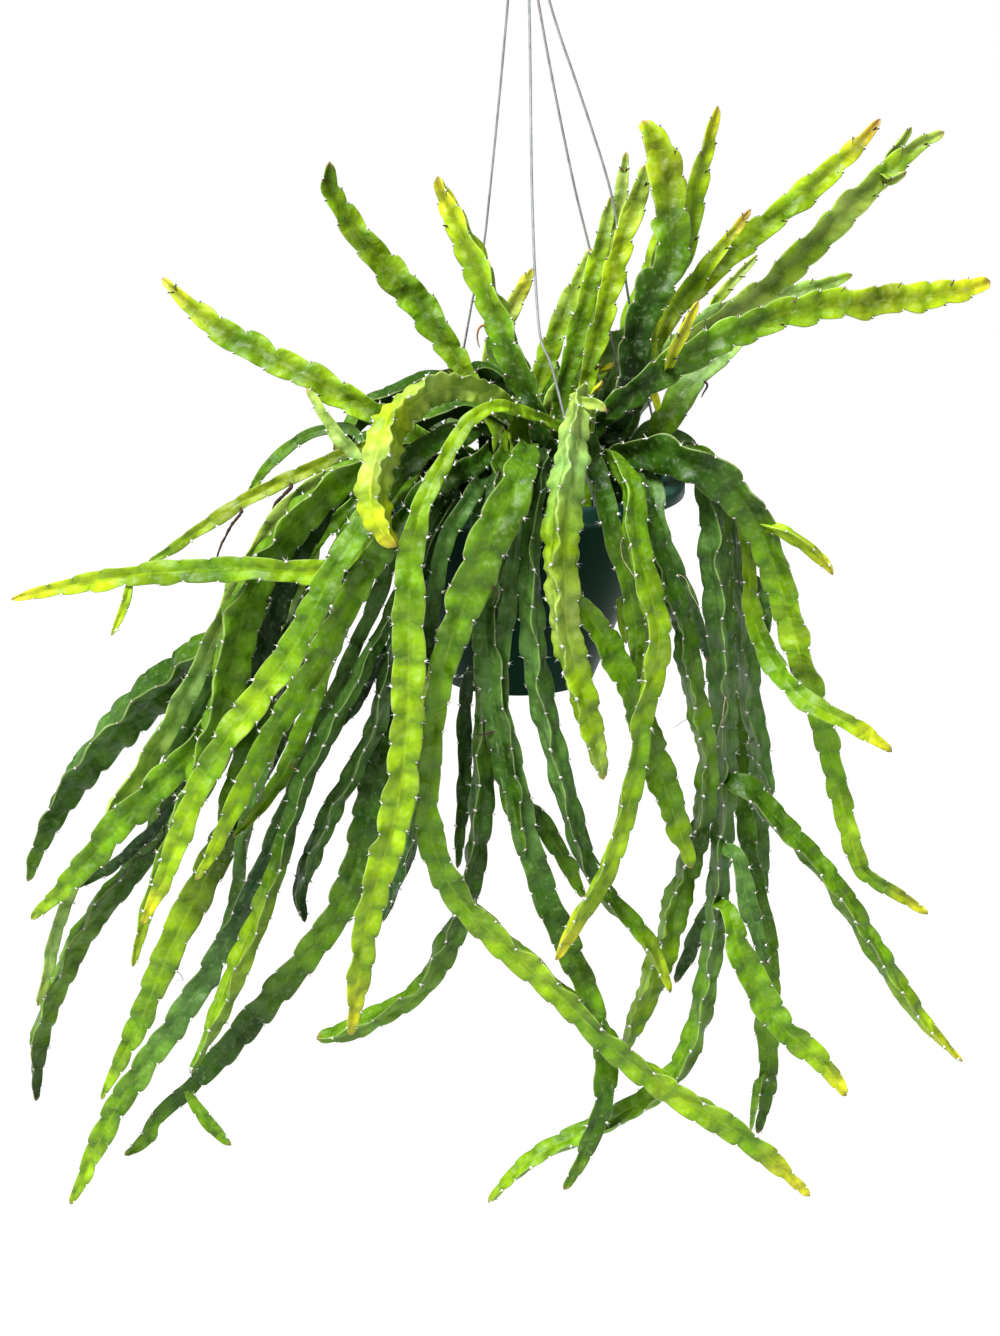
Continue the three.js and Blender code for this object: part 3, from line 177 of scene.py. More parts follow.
def bored(piece, places, radius, depth, sides):
    """Drills upright round holes through a piece."""
    drill = bmesh.new()
    for x, y, z in places:
        bmesh.ops.create_cone(drill, cap_ends=True, segments=sides, radius1=radius, radius2=radius,
                              depth=depth, matrix=Matrix.Translation((x, y, z)))
    mesh = bpy.data.meshes.new("drill")
    drill.to_mesh(mesh)
    drill.free()
    bit = placed("drill", mesh)
    cut = piece.modifiers.new("holes", "BOOLEAN")
    cut.operation = "DIFFERENCE"
    cut.object = bit
    cut.solver = "EXACT"
    bpy.context.view_layer.update()
    whole = bpy.data.meshes.new_from_object(piece.evaluated_get(bpy.context.evaluated_depsgraph_get()))
    piece.modifiers.clear()
    piece.data = whole
    bpy.data.objects.remove(bit)


def smooth_by_angle(piece, degrees):
    """Shades a piece smooth, but keeps the edges that turn more than this sharp."""
    shape = bmesh.new()
    shape.from_mesh(piece.data)
    for face in shape.faces:
        face.smooth = True
    for edge in shape.edges:
        edge.smooth = len(edge.link_faces) == 2 and edge.calc_face_angle(0) < math.radians(degrees)
    shape.to_mesh(piece.data)
    shape.free()


PATCH_SCALE = 40.0
SPECK_SCALE = 400.0
CONTRAST = 0.5
FULL_CONTRAST = 1.5
MASK_MIDDLE = 0.5
MASK_REACH = 0.22


def feed(tree, node, socket, value):
    """Gives an input of a node a number, a written colour or another node's output."""
    if isinstance(value, bpy.types.NodeSocket):
        tree.links.new(value, node.inputs[socket])
    else:
        node.inputs[socket].default_value = shade(value) if isinstance(value, str) else value


def worked_out(tree, operation, *values):
    """A sum, difference or product of numbers or of other nodes' outputs."""
    node = tree.nodes.new("ShaderNodeMath")
    node.operation = operation
    for socket, value in enumerate(values):
        feed(tree, node, socket, value)
    return node.outputs[0]


def scaled(tree, value, low, high, to_low=0.0, to_high=1.0):
    """A value's range from low to high, stretched to another range."""
    span = tree.nodes.new("ShaderNodeMapRange")
    feed(tree, span, "Value", value)
    for socket, end in (("From Min", low), ("From Max", high), ("To Min", to_low), ("To Max", to_high)):
        feed(tree, span, socket, end)
    return span.outputs["Result"]


def blended(tree, amount, first, second, how="MIX"):
    """Two colours blended by an amount."""
    mix = tree.nodes.new("ShaderNodeMix")
    mix.data_type = "RGBA"
    mix.blend_type = how
    for socket, value in ((0, amount), (6, first), (7, second)):
        feed(tree, mix, socket, value)
    return mix.outputs[2]


def raised(tree, surface, height, strength, distance):
    """A fine relief on the surface."""
    bump = tree.nodes.new("ShaderNodeBump")
    for socket, value in (("Strength", strength), ("Distance", distance), ("Height", height)):
        feed(tree, bump, socket, value)
    feed(tree, surface, "Normal", bump.outputs["Normal"])


def make_mottle():
    """Uneven patches and finer specks: two masks from 0 to 1, with few middle tones at high contrast."""
    group = bpy.data.node_groups.new("mottle", "ShaderNodeTree")
    for name, usual in (("Patch Scale", PATCH_SCALE), ("Speck Scale", SPECK_SCALE), ("Contrast", CONTRAST)):
        socket = group.interface.new_socket(name=name, in_out="INPUT", socket_type="NodeSocketFloat")
        socket.default_value = usual
    inside = group.nodes.new("NodeGroupInput").outputs
    outside = group.nodes.new("NodeGroupOutput")
    where = group.nodes.new("ShaderNodeTexCoord").outputs["Object"]
    softness = worked_out(group, "SUBTRACT", FULL_CONTRAST, inside["Contrast"])
    low, high = [
        worked_out(group, "MULTIPLY_ADD", softness, side * MASK_REACH, MASK_MIDDLE) for side in (-1, 1)
    ]
    for name, size, detail, coarseness in (
        ("Patches", "Patch Scale", 1.6, 0.42), ("Specks", "Speck Scale", 2.0, 0.5),
    ):
        group.interface.new_socket(name=name, in_out="OUTPUT", socket_type="NodeSocketFloat")
        cloud = group.nodes.new("ShaderNodeTexNoise")
        for socket, value in (
            ("Detail", detail), ("Roughness", coarseness), ("Vector", where), ("Scale", inside[size]),
        ):
            feed(group, cloud, socket, value)
        feed(group, outside, name, scaled(group, cloud.outputs["Fac"], low, high))
    return group


mottle = make_mottle()


def bare_finish(name, roughness, patch=PATCH_SCALE, speck=SPECK_SCALE, contrast=CONTRAST, metallic=0.0):
    """A new material, its nodes, its surface and the masks of its mottle, ready for its own colours."""
    finish = bpy.data.materials.new(name)
    finish.use_nodes = True
    tree = finish.node_tree
    surface = tree.nodes["Principled BSDF"]
    uneven = tree.nodes.new("ShaderNodeGroup")
    uneven.node_tree = mottle
    for node, socket, number in (
        (surface, "Roughness", roughness), (surface, "Metallic", metallic),
        (uneven, "Patch Scale", patch), (uneven, "Speck Scale", speck), (uneven, "Contrast", contrast),
    ):
        feed(tree, node, socket, number)
    return finish, tree, surface, uneven.outputs


def galvanised(name, bright, dull, metallic):
    """Zinc-coated steel: two greys in fine patches, a little rougher where it is speckled."""
    finish, tree, surface, masks = bare_finish(name, 0.4, patch=160.0, speck=1500.0, metallic=metallic)
    feed(tree, surface, "Base Color", blended(tree, masks["Patches"], bright, dull))
    feed(tree, surface, "Roughness", scaled(tree, masks["Specks"], 0, 1, 0.28, 0.55))
    raised(tree, surface, masks["Specks"], 0.15, 0.2 * MM)
    return finish


hook_steel = galvanised("zinc_plated_steel", "#c9ccce", "#8b9092", 0.85)

hook_path = [
    (0, 0, COLLAR_Z - 3.2 * MM), (0, 0, COLLAR_Z + 8 * MM),
    (1.5 * MM, 0, HOOK_CENTRE_Z - HOOK_LOOP_RADIUS - 3 * MM),
]
for degrees in range(-62, 206, 24):
    angle = math.radians(degrees)
    hook_path.append((
        HOOK_LOOP_RADIUS * math.cos(angle), 0, HOOK_CENTRE_Z + HOOK_LOOP_RADIUS * math.sin(angle)
    ))
hook_path.append((-HOOK_LOOP_RADIUS - 4 * MM, 0, HOOK_CENTRE_Z - 10 * MM))
verts, faces = drawn_wire(hook_path, HOOK_WIRE_RADIUS, sides=18, step=0.9 * MM)
hook = new_piece("hanger_hook_wire", verts, faces, hook_steel)

half = COLLAR_THICK / 2
collar_outline = [
    (0, -half), (COLLAR_RADIUS - 0.9 * MM, -half), (COLLAR_RADIUS - 0.25 * MM, -half + 0.25 * MM),
    (COLLAR_RADIUS, -half + 0.9 * MM), (COLLAR_RADIUS, half - 0.9 * MM),
    (COLLAR_RADIUS - 0.25 * MM, half - 0.25 * MM), (COLLAR_RADIUS - 0.9 * MM, half),
    (3.1 * MM, half), (2.4 * MM, half + 0.5 * MM), (0, half + 0.5 * MM),
]
verts, faces = turned([(r, z + COLLAR_Z) for r, z in collar_outline], 48)
collar = new_piece("hanger_collar", verts, faces, hook_steel)
collar_places = places_round(COLLAR_RING, COLLAR_Z, COLLAR_HEADINGS)
bored(collar, collar_places, COLLAR_HOLE_RADIUS, 3 * COLLAR_THICK, 20)
smooth_by_angle(collar, 35)
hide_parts("hanger_hook")
for piece in (hook, collar):
    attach(piece, "root")


# Wires: four lengths of 1.5 mm galvanised spring wire. Each is bent over on the collar, runs down
# stiff and almost straight through the plant, and hooks under the basket's flange.
WIRE_RADIUS = 0.75 * MM
WIDTH_SLACK = 4e-6
CENTRE_SLACK = 2e-5
wire_steel = galvanised("galvanised_wire", "#c4c8ca", "#989da0", 0.45)


def welded(node):
    """A CAD node's points with doubles merged, and the points that share an edge with each."""
    mesh = node.data
    places = np.empty(len(mesh.vertices) * 3, np.float32)
    mesh.vertices.foreach_get("co", places)
    places = places.reshape(-1, 3).astype(float)
    keys = np.round(places * 1e6).astype(np.int64)
    _, first, number = np.unique(keys, axis=0, return_index=True, return_inverse=True)
    number = number.reshape(-1)
    near = [set() for _ in first]
    for face in mesh.polygons:
        corners = [int(number[k]) for k in face.vertices]
        for a, b in zip(corners, corners[1:] + corners[:1]):
            near[a].add(b)
            near[b].add(a)
    return places[first], near


def wire_line(node):
    """The middle line of a six-sided wire: the points halfway between opposite corners of its rings."""
    points, _ = welded(node)
    gaps = np.linalg.norm(points[:, None] - points[None], axis=2)
    pairs = np.argwhere(np.triu(np.abs(gaps - 2 * WIRE_RADIUS) < WIDTH_SLACK))
    halfway = (points[pairs[:, 0]] + points[pairs[:, 1]]) / 2
    alike = np.linalg.norm(halfway[:, None] - halfway[None], axis=2) < CENTRE_SLACK
    rest = [
        halfway[row].mean(axis=0)
        for i, row in enumerate(alike) if row.sum() >= 3 and row.argmax() == i
    ]
    following = max(rest, key=lambda centre: centre[2])
    line = []
    while rest:
        line.append(following)
        rest = [centre for centre in rest if centre is not following]
        following = min(rest, key=lambda centre: np.linalg.norm(centre - line[-1]), default=None)
    return line


for name in ("wire_back_left", "wire_front_right", "wire_back_right", "wire_right"):
    verts, faces = drawn_wire(wire_line(nodes[name]), WIRE_RADIUS, sides=10, step=2 * MM)
    wire = new_piece(name + "_drawn", verts, faces, wire_steel)
    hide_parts(name)
    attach(wire, "root")


# Basket: one piece of injection-moulded dark teal polypropylene with a rolled flange, a thin wall
# that tapers to a flat base, drain holes in the base and a hole in the flange for each wire.
RIM_Z = -380 * MM
WALL_TOP_RADIUS = 90 * MM
WALL_TOP_Z = RIM_Z - 14 * MM
BASE_RADIUS = 49 * MM
BASE_Z = RIM_Z - 125 * MM
WALL_THICK = 2.2 * MM
WALL_BELLY = 0.5 * MM
FLOOR_THICK = 3 * MM
WIRE_RING = 96 * MM
WIRE_HEADINGS = [212, 26, 128, 110]
WIRE_HOLE_RADIUS = 1.5 * MM
DRAIN_RING = 30 * MM
DRAIN_RADIUS = 4 * MM
DRILL_DEPTH = 30 * MM
BASKET_SIDES = 120
RIM_PROFILE = [
    (91.2, -11.2), (93.4, -9.6), (96.5, -8.3), (98.9, -7.8), (100, -8.4), (101.1, -8.1), (101.5, -7),
    (101.5, -2.2), (101, -0.8), (99.8, -0.1), (98.6, 0), (92.6, 0), (91.2, -0.4), (90, -1.6), (89.3, -4),
    (88.6, -9),
]

inner_top = WALL_TOP_RADIUS - WALL_THICK
inner_base = BASE_RADIUS - WALL_THICK + 1 * MM
outer_low = BASE_Z + 2.5 * MM
inner_low = BASE_Z + FLOOR_THICK + 2 * MM


def wall_side(top, base, low, heights):
    """Points of one side of the wall at some heights, with its slight belly."""
    shares = (heights - low) / (WALL_TOP_Z - low)
    return [
        (base + (top - base) * share + WALL_BELLY * math.sin(math.pi * share), z)
        for share, z in zip(shares, heights)
    ]


outline = [
    (0, BASE_Z + 0.8 * MM), (BASE_RADIUS - 9 * MM, BASE_Z + 0.8 * MM), (BASE_RADIUS - 8 * MM, BASE_Z),
    (BASE_RADIUS - 2.5 * MM, BASE_Z), (BASE_RADIUS - 0.7 * MM, BASE_Z + 0.8 * MM),
]
outline += wall_side(WALL_TOP_RADIUS, BASE_RADIUS, outer_low, np.linspace(outer_low, WALL_TOP_Z, 15))
outline += [(r * MM, RIM_Z + z * MM) for r, z in RIM_PROFILE]
outline += wall_side(inner_top, inner_base, inner_low, np.linspace(WALL_TOP_Z, inner_low, 15))
outline += [(inner_base - 2 * MM, BASE_Z + FLOOR_THICK), (0, BASE_Z + FLOOR_THICK)]


def height_of(tree, vector):
    """The upright part of a place or a direction on the surface."""
    split = tree.nodes.new("ShaderNodeSeparateXYZ")
    feed(tree, split, 0, vector)
    return split.outputs["Z"]


basket_plastic, tree, surface, masks = bare_finish(
    "teal_polypropylene", 0.38, patch=22.0, speck=900.0, contrast=0.2
)
here = tree.nodes.new("ShaderNodeNewGeometry").outputs
moulded = blended(tree, masks["Patches"], "#052a1f", "#0a392b")
# The flange is blended towards a lighter teal, and the faces that look up towards a lighter grey-teal.
lighter_flange = scaled(tree, height_of(tree, here["Position"]), RIM_Z - 14 * MM, RIM_Z - 9 * MM, 0.0, 0.7)
moulded = blended(tree, lighter_flange, moulded, "#3f7063")
facing_up = scaled(tree, height_of(tree, here["Normal"]), 0.2, 1.0, 0.0, 0.5)
lighter_tops = blended(tree, facing_up, moulded, "#3f5c57")
specked = scaled(tree, masks["Specks"], 0.72, 1.0, 0.0, 0.35)
feed(tree, surface, "Base Color", blended(tree, specked, lighter_tops, "#2f4f49"))
feed(tree, surface, "Roughness", scaled(tree, masks["Patches"], 0, 1, 0.3, 0.46))
feed(tree, surface, "Specular IOR Level", 0.06)
raised(tree, surface, masks["Specks"], 0.08, 0.3 * MM)

verts, faces = turned(outline, BASKET_SIDES)
basket = new_piece("basket", verts, faces, basket_plastic)
drains = [
    (DRAIN_RING * math.cos(i * math.pi / 3), DRAIN_RING * math.sin(i * math.pi / 3), BASE_Z)
    for i in range(6)
]
bored(basket, drains, DRAIN_RADIUS, DRILL_DEPTH, 28)
bored(basket, places_round(WIRE_RING, RIM_Z, WIRE_HEADINGS), WIRE_HOLE_RADIUS, DRILL_DEPTH, 16)
smooth_by_angle(basket, 38)
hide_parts("pot")
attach(basket, "root")


# Potting mix: peat and bark pressed into the basket, with a lumpy top on which loose bark chips
# and white perlite grains lie between the feet of the stems.
SOIL_Z = RIM_Z - 18 * MM
SOIL_RADIUS = 86 * MM
SOIL_GAP = 0.4 * MM
LUMP_LIMIT = 2.2 * MM
CHIPS = 520
CHIP_REACH = 0.96 * SOIL_RADIUS
PERLITE_EVERY = 6
PERLITE_SIZE = (0.8, 1.5)
BARK_SIZE = (1.5, 4.2)

soil_outline = [(0, BASE_Z + 3.3 * MM), (inner_base - 2.6 * MM, BASE_Z + 3.3 * MM)]
soil_heights = np.linspace(BASE_Z + 5.6 * MM, SOIL_Z - 2 * MM, 8)
soil_outline += wall_side(inner_top - SOIL_GAP, inner_base - SOIL_GAP, inner_low, soil_heights)
soil_outline += [(SOIL_RADIUS * share, SOIL_Z - 0.5 * MM) for share in np.linspace(0.99, 0.03, 40)]
soil_outline += [(0, SOIL_Z)]
verts, faces = turned(soil_outline, BASKET_SIDES)
lumpy = []
for x, y, z in verts:
    if z > SOIL_Z - 1.5 * MM:
        place = Vector((x, y, 0))
        lump = field.fractal(place * 70, 1.0, 2.0, 3) * 1.6 * MM + field.noise(place * 420) * 0.7 * MM
        z += min(lump, LUMP_LIMIT)
    lumpy.append((x, y, z))

peat, tree, surface, masks = bare_finish("peat_mix", 0.95, patch=180.0, speck=1400.0)
mix = blended(tree, masks["Patches"], "#2a1d14", "#4a3524")
mix = blended(tree, scaled(tree, masks["Specks"], 0.6, 1.0, 0, 0.6), mix, "#6d5338")
feed(tree, surface, "Base Color", mix)
raised(tree, surface, masks["Specks"], 0.8, 0.8 * MM)
soil = new_piece("potting_mix", lumpy, faces, peat)
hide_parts("soil")
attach(soil, "root")


def two_toned(name, roughness, mask, first, second, relief=None, **mottling):
    """A material of two colours, blended by one of the mottle's masks."""
    finish, tree, surface, masks = bare_finish(name, roughness, **mottling)
    feed(tree, surface, "Base Color", blended(tree, masks[mask], first, second))
    if relief:
        raised(tree, surface, masks["Specks"], *relief)
    return finish


def added(verts, faces, more_verts, more_faces):
    """Adds a shape's points and faces to those of a piece made of many."""
    base = len(verts)
    verts.extend(more_verts)
    faces.extend(tuple(base + k for k in face) for face in more_faces)


bark = two_toned(
    "bark_chips", 0.9, "Patches", "#3b2818", "#7a5a3a", (0.6, 0.5 * MM), patch=300.0, speck=1800.0
)
perlite = two_toned("perlite_grains", 0.9, "Specks", "#d8d4c8", "#f4f1ea")
BOX_CORNERS = np.array([(x, y, z) for x in (-1, 1) for y in (-1, 1) for z in (-1, 1)], float)
BOX_FACES = [(0, 1, 3, 2), (4, 6, 7, 5), (0, 4, 5, 1), (2, 3, 7, 6), (0, 2, 6, 4), (1, 5, 7, 3)]
rng = np.random.default_rng(7)
verts, faces, kinds = [], [], []
for i in range(CHIPS):
    is_perlite = i % PERLITE_EVERY == 0
    reach = CHIP_REACH * math.sqrt(rng.random())
    angle = rng.random() * 2 * math.pi
    size = rng.uniform(*(PERLITE_SIZE if is_perlite else BARK_SIZE))
    stretch = np.array([size, size * rng.uniform(0.5, 0.9), size * rng.uniform(0.25, 0.6)]) * MM
    corners = BOX_CORNERS * stretch * rng.uniform(0.55, 1.0, (8, 3))
    turn = Matrix.Rotation(rng.random() * 6.3, 3, "Z") @ Matrix.Rotation(rng.uniform(-0.5, 0.5), 3, "X")
    at = Vector((reach * math.cos(angle), reach * math.sin(angle), SOIL_Z + 1.2 * MM))
    added(verts, faces, [turn @ Vector(corner) + at for corner in corners], BOX_FACES)
    kinds += [int(is_perlite)] * len(BOX_FACES)
chips = new_piece("bark_and_perlite", verts, faces, bark, perlite, kinds=kinds, smooth=False)
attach(chips, "root")


# Stems: fleshy green stems with three thin wings, as wide as a finger and up to two thirds of a metre
# long. Each grew from the potting mix, and side stems grew from its wing edges. The edges are
# scalloped, with a tuft of white wool and a small brown scale in each notch.
VALLEY_SHARE = 0.42
RING_SLACK = 8e-6
LEAST_SPAN = 1e-4
RING_STEP = 2.2 * MM
FOOT_DEPTH = 7 * MM
# Each stem's row of shades follows how it looks along its length where it hangs, so the shades are partly
# its own colour and partly painted light and shade: darker where it lies under other stems and lighter
# where the light falls on it.
STEM_SHADES = {
    "yellow": "#dcd824", "lime": "#b8d617", "bright": "#92bb10", "leaf": "#68970f", "olive": "#8aa015",
    "forest": "#365f0b", "deep": "#173409", "grey": "#578238", "teal": "#2b4b2c", "pale": "#b4d15e",
    "mint": "#96c169", "amber": "#d3a035", "tan": "#a98a52",
}
SHADES_TIPWARD = 0.62


def rings_of(points, near):
    """The three-winged rings that a stem's solid was lofted through.

    Each has its centre, the reach of its wings, the direction of one wing and the corners found on it.
    """
    rings = []
    depth_share = 1 - VALLEY_SHARE / 2
    for tip in range(len(points)):
        beside = sorted(near[tip])
        for i, a in enumerate(beside):
            for b in beside[i + 1:]:
                middle = (points[a] + points[b]) / 2
                depth = np.linalg.norm(points[tip] - middle)
                span = np.linalg.norm(points[a] - points[b])
                lean = np.linalg.norm(points[a] - points[tip]) - np.linalg.norm(points[b] - points[tip])
                wanted = span * depth_share / (VALLEY_SHARE * math.sqrt(3))
                if abs(lean) > RING_SLACK or abs(depth - wanted) > RING_SLACK or span < LEAST_SPAN:
                    continue
                reach = depth / depth_share
                out = (points[tip] - middle) / depth
                across = (points[b] - points[a]) / span
                centre = middle - VALLEY_SHARE / 2 * reach * out
                members = {tip, a, b}
                for want in (
                    reach * (-0.5 * out + math.sqrt(0.75) * across),
                    reach * (-0.5 * out - math.sqrt(0.75) * across),
                    -VALLEY_SHARE * reach * out,
                ):
                    gaps = np.linalg.norm(points - centre - want, axis=1)
                    if gaps.min() < RING_SLACK:
                        members.add(int(gaps.argmin()))
                if len(members) < 4:
                    continue
                known = [r for r in rings if np.linalg.norm(r["centre"] - centre) < 5 * RING_SLACK]
                if known:
                    known[0]["members"] |= members
                else:
                    rings.append({"centre": centre, "reach": reach, "out": out, "members": members})
    return rings


def runs_of(rings, points, near):
    """The rings joined into runs, and the points beyond each ring on which a tip closes."""
    owner = {corner: k for k, ring in enumerate(rings) for corner in ring["members"]}
    links = [set() for _ in rings]
    ends = {}
    for k, ring in enumerate(rings):
        outside = {}
        for corner in ring["members"]:
            for other in near[corner]:
                if other not in owner:
                    outside[other] = outside.get(other, 0) + 1
                elif owner[other] != k:
                    links[k].add(owner[other])
        ends[k] = [points[other] for other, count in outside.items() if count >= 5]
    runs, seen = [], set()
    for start in sorted(range(len(rings)), key=lambda k: (len(links[k]), k)):
        if start in seen:
            continue
        run = [start]
        seen.add(start)
        while any(k not in seen for k in links[run[-1]]):
            run.append(min(k for k in links[run[-1]] if k not in seen))
            seen.add(run[-1])
        runs.append(run)
    return runs, ends


def limbs_of(node):
    """The limbs of a stem, the main one first.

    Each has the centres of its rings from foot to tip, with the reach and direction of a wing at each.
    """
    points, near = welded(node)
    rings = rings_of(points, near)
    runs, ends = runs_of(rings, points, near)

    def off_soil(k):
        return abs(rings[k]["centre"][2] - SOIL_Z)

    runs.sort(key=lambda run: min(off_soil(run[0]), off_soil(run[-1])))
    limbs = []
    for run in runs:
        if limbs:
            backwards = bool(ends[run[0]]) and not ends[run[-1]]
        else:
            backwards = off_soil(run[-1]) < off_soil(run[0])
        if backwards:
            run = run[::-1]
        limb = {
            "centres": [rings[k]["centre"] for k in run],
            "reaches": [rings[k]["reach"] for k in run],
            "outs": [rings[k]["out"] for k in run],
        }
        last = limb["centres"][-1]
        onward = last - limb["centres"][-2] if len(run) > 1 else None
        tips = [end for end in ends[run[-1]] if onward is None or (end - last).dot(onward) > 0]
        limb["has_tip"] = bool(tips)
        if tips:
            limb["centres"].append(tips[0])
            limb["reaches"].append(0.0)
            limb["outs"].append(limb["outs"][-1])
        limbs.append(limb)
    main, others = limbs[0], limbs[1:]
    if others and not main["has_tip"]:
        end = main["centres"][-1]
        heading = end - main["centres"][-2]
        onward = max(others, key=lambda limb: (limb["centres"][-1] - end).dot(heading))
        others = [limb for limb in others if limb is not onward]
        for part in ("centres", "reaches", "outs"):
            main[part] += onward[part]
        main["has_tip"] = True
    # The main limb goes down into the soil, and each side limb starts inside the main one.
    starts = [(main, main["centres"][0] - np.array([0, 0, FOOT_DEPTH]), main["reaches"][0])]
    line, at = rounded_line([starts[0][1]] + main["centres"], RING_STEP)
    for limb in others:
        first, second = limb["centres"][:2]
        back = first + (first - second) / np.linalg.norm(first - second) * 6 * MM
        k = int(np.linalg.norm(line - back, axis=1).argmin())
        limb["joint"] = at[k]
        inside = min(0.3, 1.5 * MM / np.linalg.norm(line[k] - first))
        neck = max(0.3 * limb["reaches"][0], 1.8 * MM)
        starts.append((limb, line[k] + (first - line[k]) * inside, neck))
    for limb, centre, reach in starts:
        limb["centres"].insert(0, centre)
        limb["reaches"].insert(0, reach)
        limb["outs"].insert(0, limb["outs"][0])
    return [main] + sorted(others, key=lambda limb: limb["joint"])


def aligned(outs, tangents):
    """Wing directions turned by whole wings so that they follow one another, square to the line."""
    turned_outs = [outs[0]]
    for out, tangent in zip(outs[1:], tangents[1:]):
        last = turned_outs[-1] - tangent * turned_outs[-1].dot(tangent)
        options = []
        for third in range(3):
            angle = third * 2 * math.pi / 3
            options.append(out * math.cos(angle) + np.cross(tangent, out) * math.sin(angle))
        turned_outs.append(max(options, key=lambda o: o.dot(last)))
    return np.array(turned_outs)


def colours_along(words, share):
    """The colour at each share of a limb's length, from a row of named shades, foot to tip."""
    row = np.array([shade(STEM_SHADES[word])[:3] for word in words.split()])
    at = np.linspace(0, 1, len(row)) ** SHADES_TIPWARD
    return np.column_stack([np.interp(share, at, row[:, k]) for k in range(3)])


WING_OUTLINE = [(0.40, 0.20), (0.70, 0.125), (0.93, 0.075)]
VALLEY_REACH = 0.31
BLUNT_TIP = 20 * MM
DRY_TIP = 3.5 * MM
LEAST_REACH = 0.35 * MM
NOTCH_GAP = (17, 22)
NOTCH_DEPTH = (0.1, 0.23)
WING_WAVE = (0.06, 0.26)
# How much lighter or darker each lobe is painted, at random.
LOBE_SHADING = (0.62, 1.26)
EDGE_SHARE = 1.05
LEAST_THICK = 3.2 * MM
LEAST_HALF = 0.42 * MM
TUFT_SHARE = 0.985


def limb_course(limb):
    """A limb's line, and at each of its points the length so far, the tangent, one wing and the reach."""
    centres = np.array(limb["centres"])
    line, at = rounded_line(centres, RING_STEP)
    stations = length_along(centres)
    stations *= at[-1] / stations[-1]
    tangents = tangents_of(line)
    near_station = [tangents[int(np.abs(at - s).argmin())] for s in stations]
    outs = aligned([np.array(o) for o in limb["outs"]], near_station)
    out = np.column_stack([np.interp(at, stations, outs[:, k]) for k in range(3)])
    out -= tangents * (out * tangents).sum(axis=1)[:, None]
    out /= np.linalg.norm(out, axis=1)[:, None]
    reach = np.interp(at, stations, limb["reaches"])
    if limb["has_tip"]:
        blunt = min(BLUNT_TIP, 0.4 * at[-1])
        t = np.clip((at - (at[-1] - blunt)) / blunt, 0, 1)
        full = np.interp(at[-1] - blunt, at, reach)
        reach = np.maximum(reach, 0.86 * full * np.sqrt(np.maximum(0, 1 - t**2.6)))
    reach = np.maximum(reach, LEAST_REACH)
    smooth = np.convolve(np.pad(reach, 2, mode="edge"), np.ones(5) / 5, mode="valid")
    reach[2:-3] = smooth[2:-3]
    return line, at, tangents, out, reach


def wing_edge(at, k, gap, random, notch, crinkle):
    """One wing's notches along a limb, and at each point its lobe, scallop, wave and painted light and
    shade, which changes from lobe to lobe.
    """
    spots = [-gap * (k / 3 + random.uniform(0, 0.3))]
    while spots[-1] < at[-1] + gap:
        tighter = 0.62 + 0.38 * min(1.0, max(0.0, (at[-1] - spots[-1]) / (60 * MM)))
        spots.append(spots[-1] + gap * tighter * random.uniform(0.78, 1.2))
    numbers = np.arange(len(spots))
    count = np.interp(at, spots, numbers)
    phase = count - np.floor(count)
    depth = np.interp(count, numbers, random.uniform(*NOTCH_DEPTH, len(spots)) * notch)
    rise = np.clip(phase / 0.7, 0, 1)
    fall = np.clip((phase - 0.88) / 0.12, 0, 1)
    scallop = 1 - depth * ((1 - rise) ** 1.7 * (1 - fall) + fall ** 1.6)
    strong = np.interp(count, numbers, random.uniform(*WING_WAVE, len(spots)))
    wave = strong * np.sin(np.pi * count + random.uniform(-0.5, 0.5) + 2 * k)
    wave += 0.05 * np.sin(at / (3.1 * MM) + random.uniform(0, 6.3))
    wave += crinkle * np.sin(at / (1.5 * MM) + 2.1 * k)
    # Painted light and shade: each lobe is lighter or darker at random, with a slow ripple along the wing.
    lobe_shading = random.uniform(*LOBE_SHADING, len(spots) + 1)
    shading = np.interp(count + 0.5, np.arange(len(spots) + 1), lobe_shading)
    shading *= 1 + 0.15 * np.sin(at / (6.1 * MM) + random.uniform(0, 6.3))
    return spots, np.sin(np.pi * phase), scallop, wave, shading


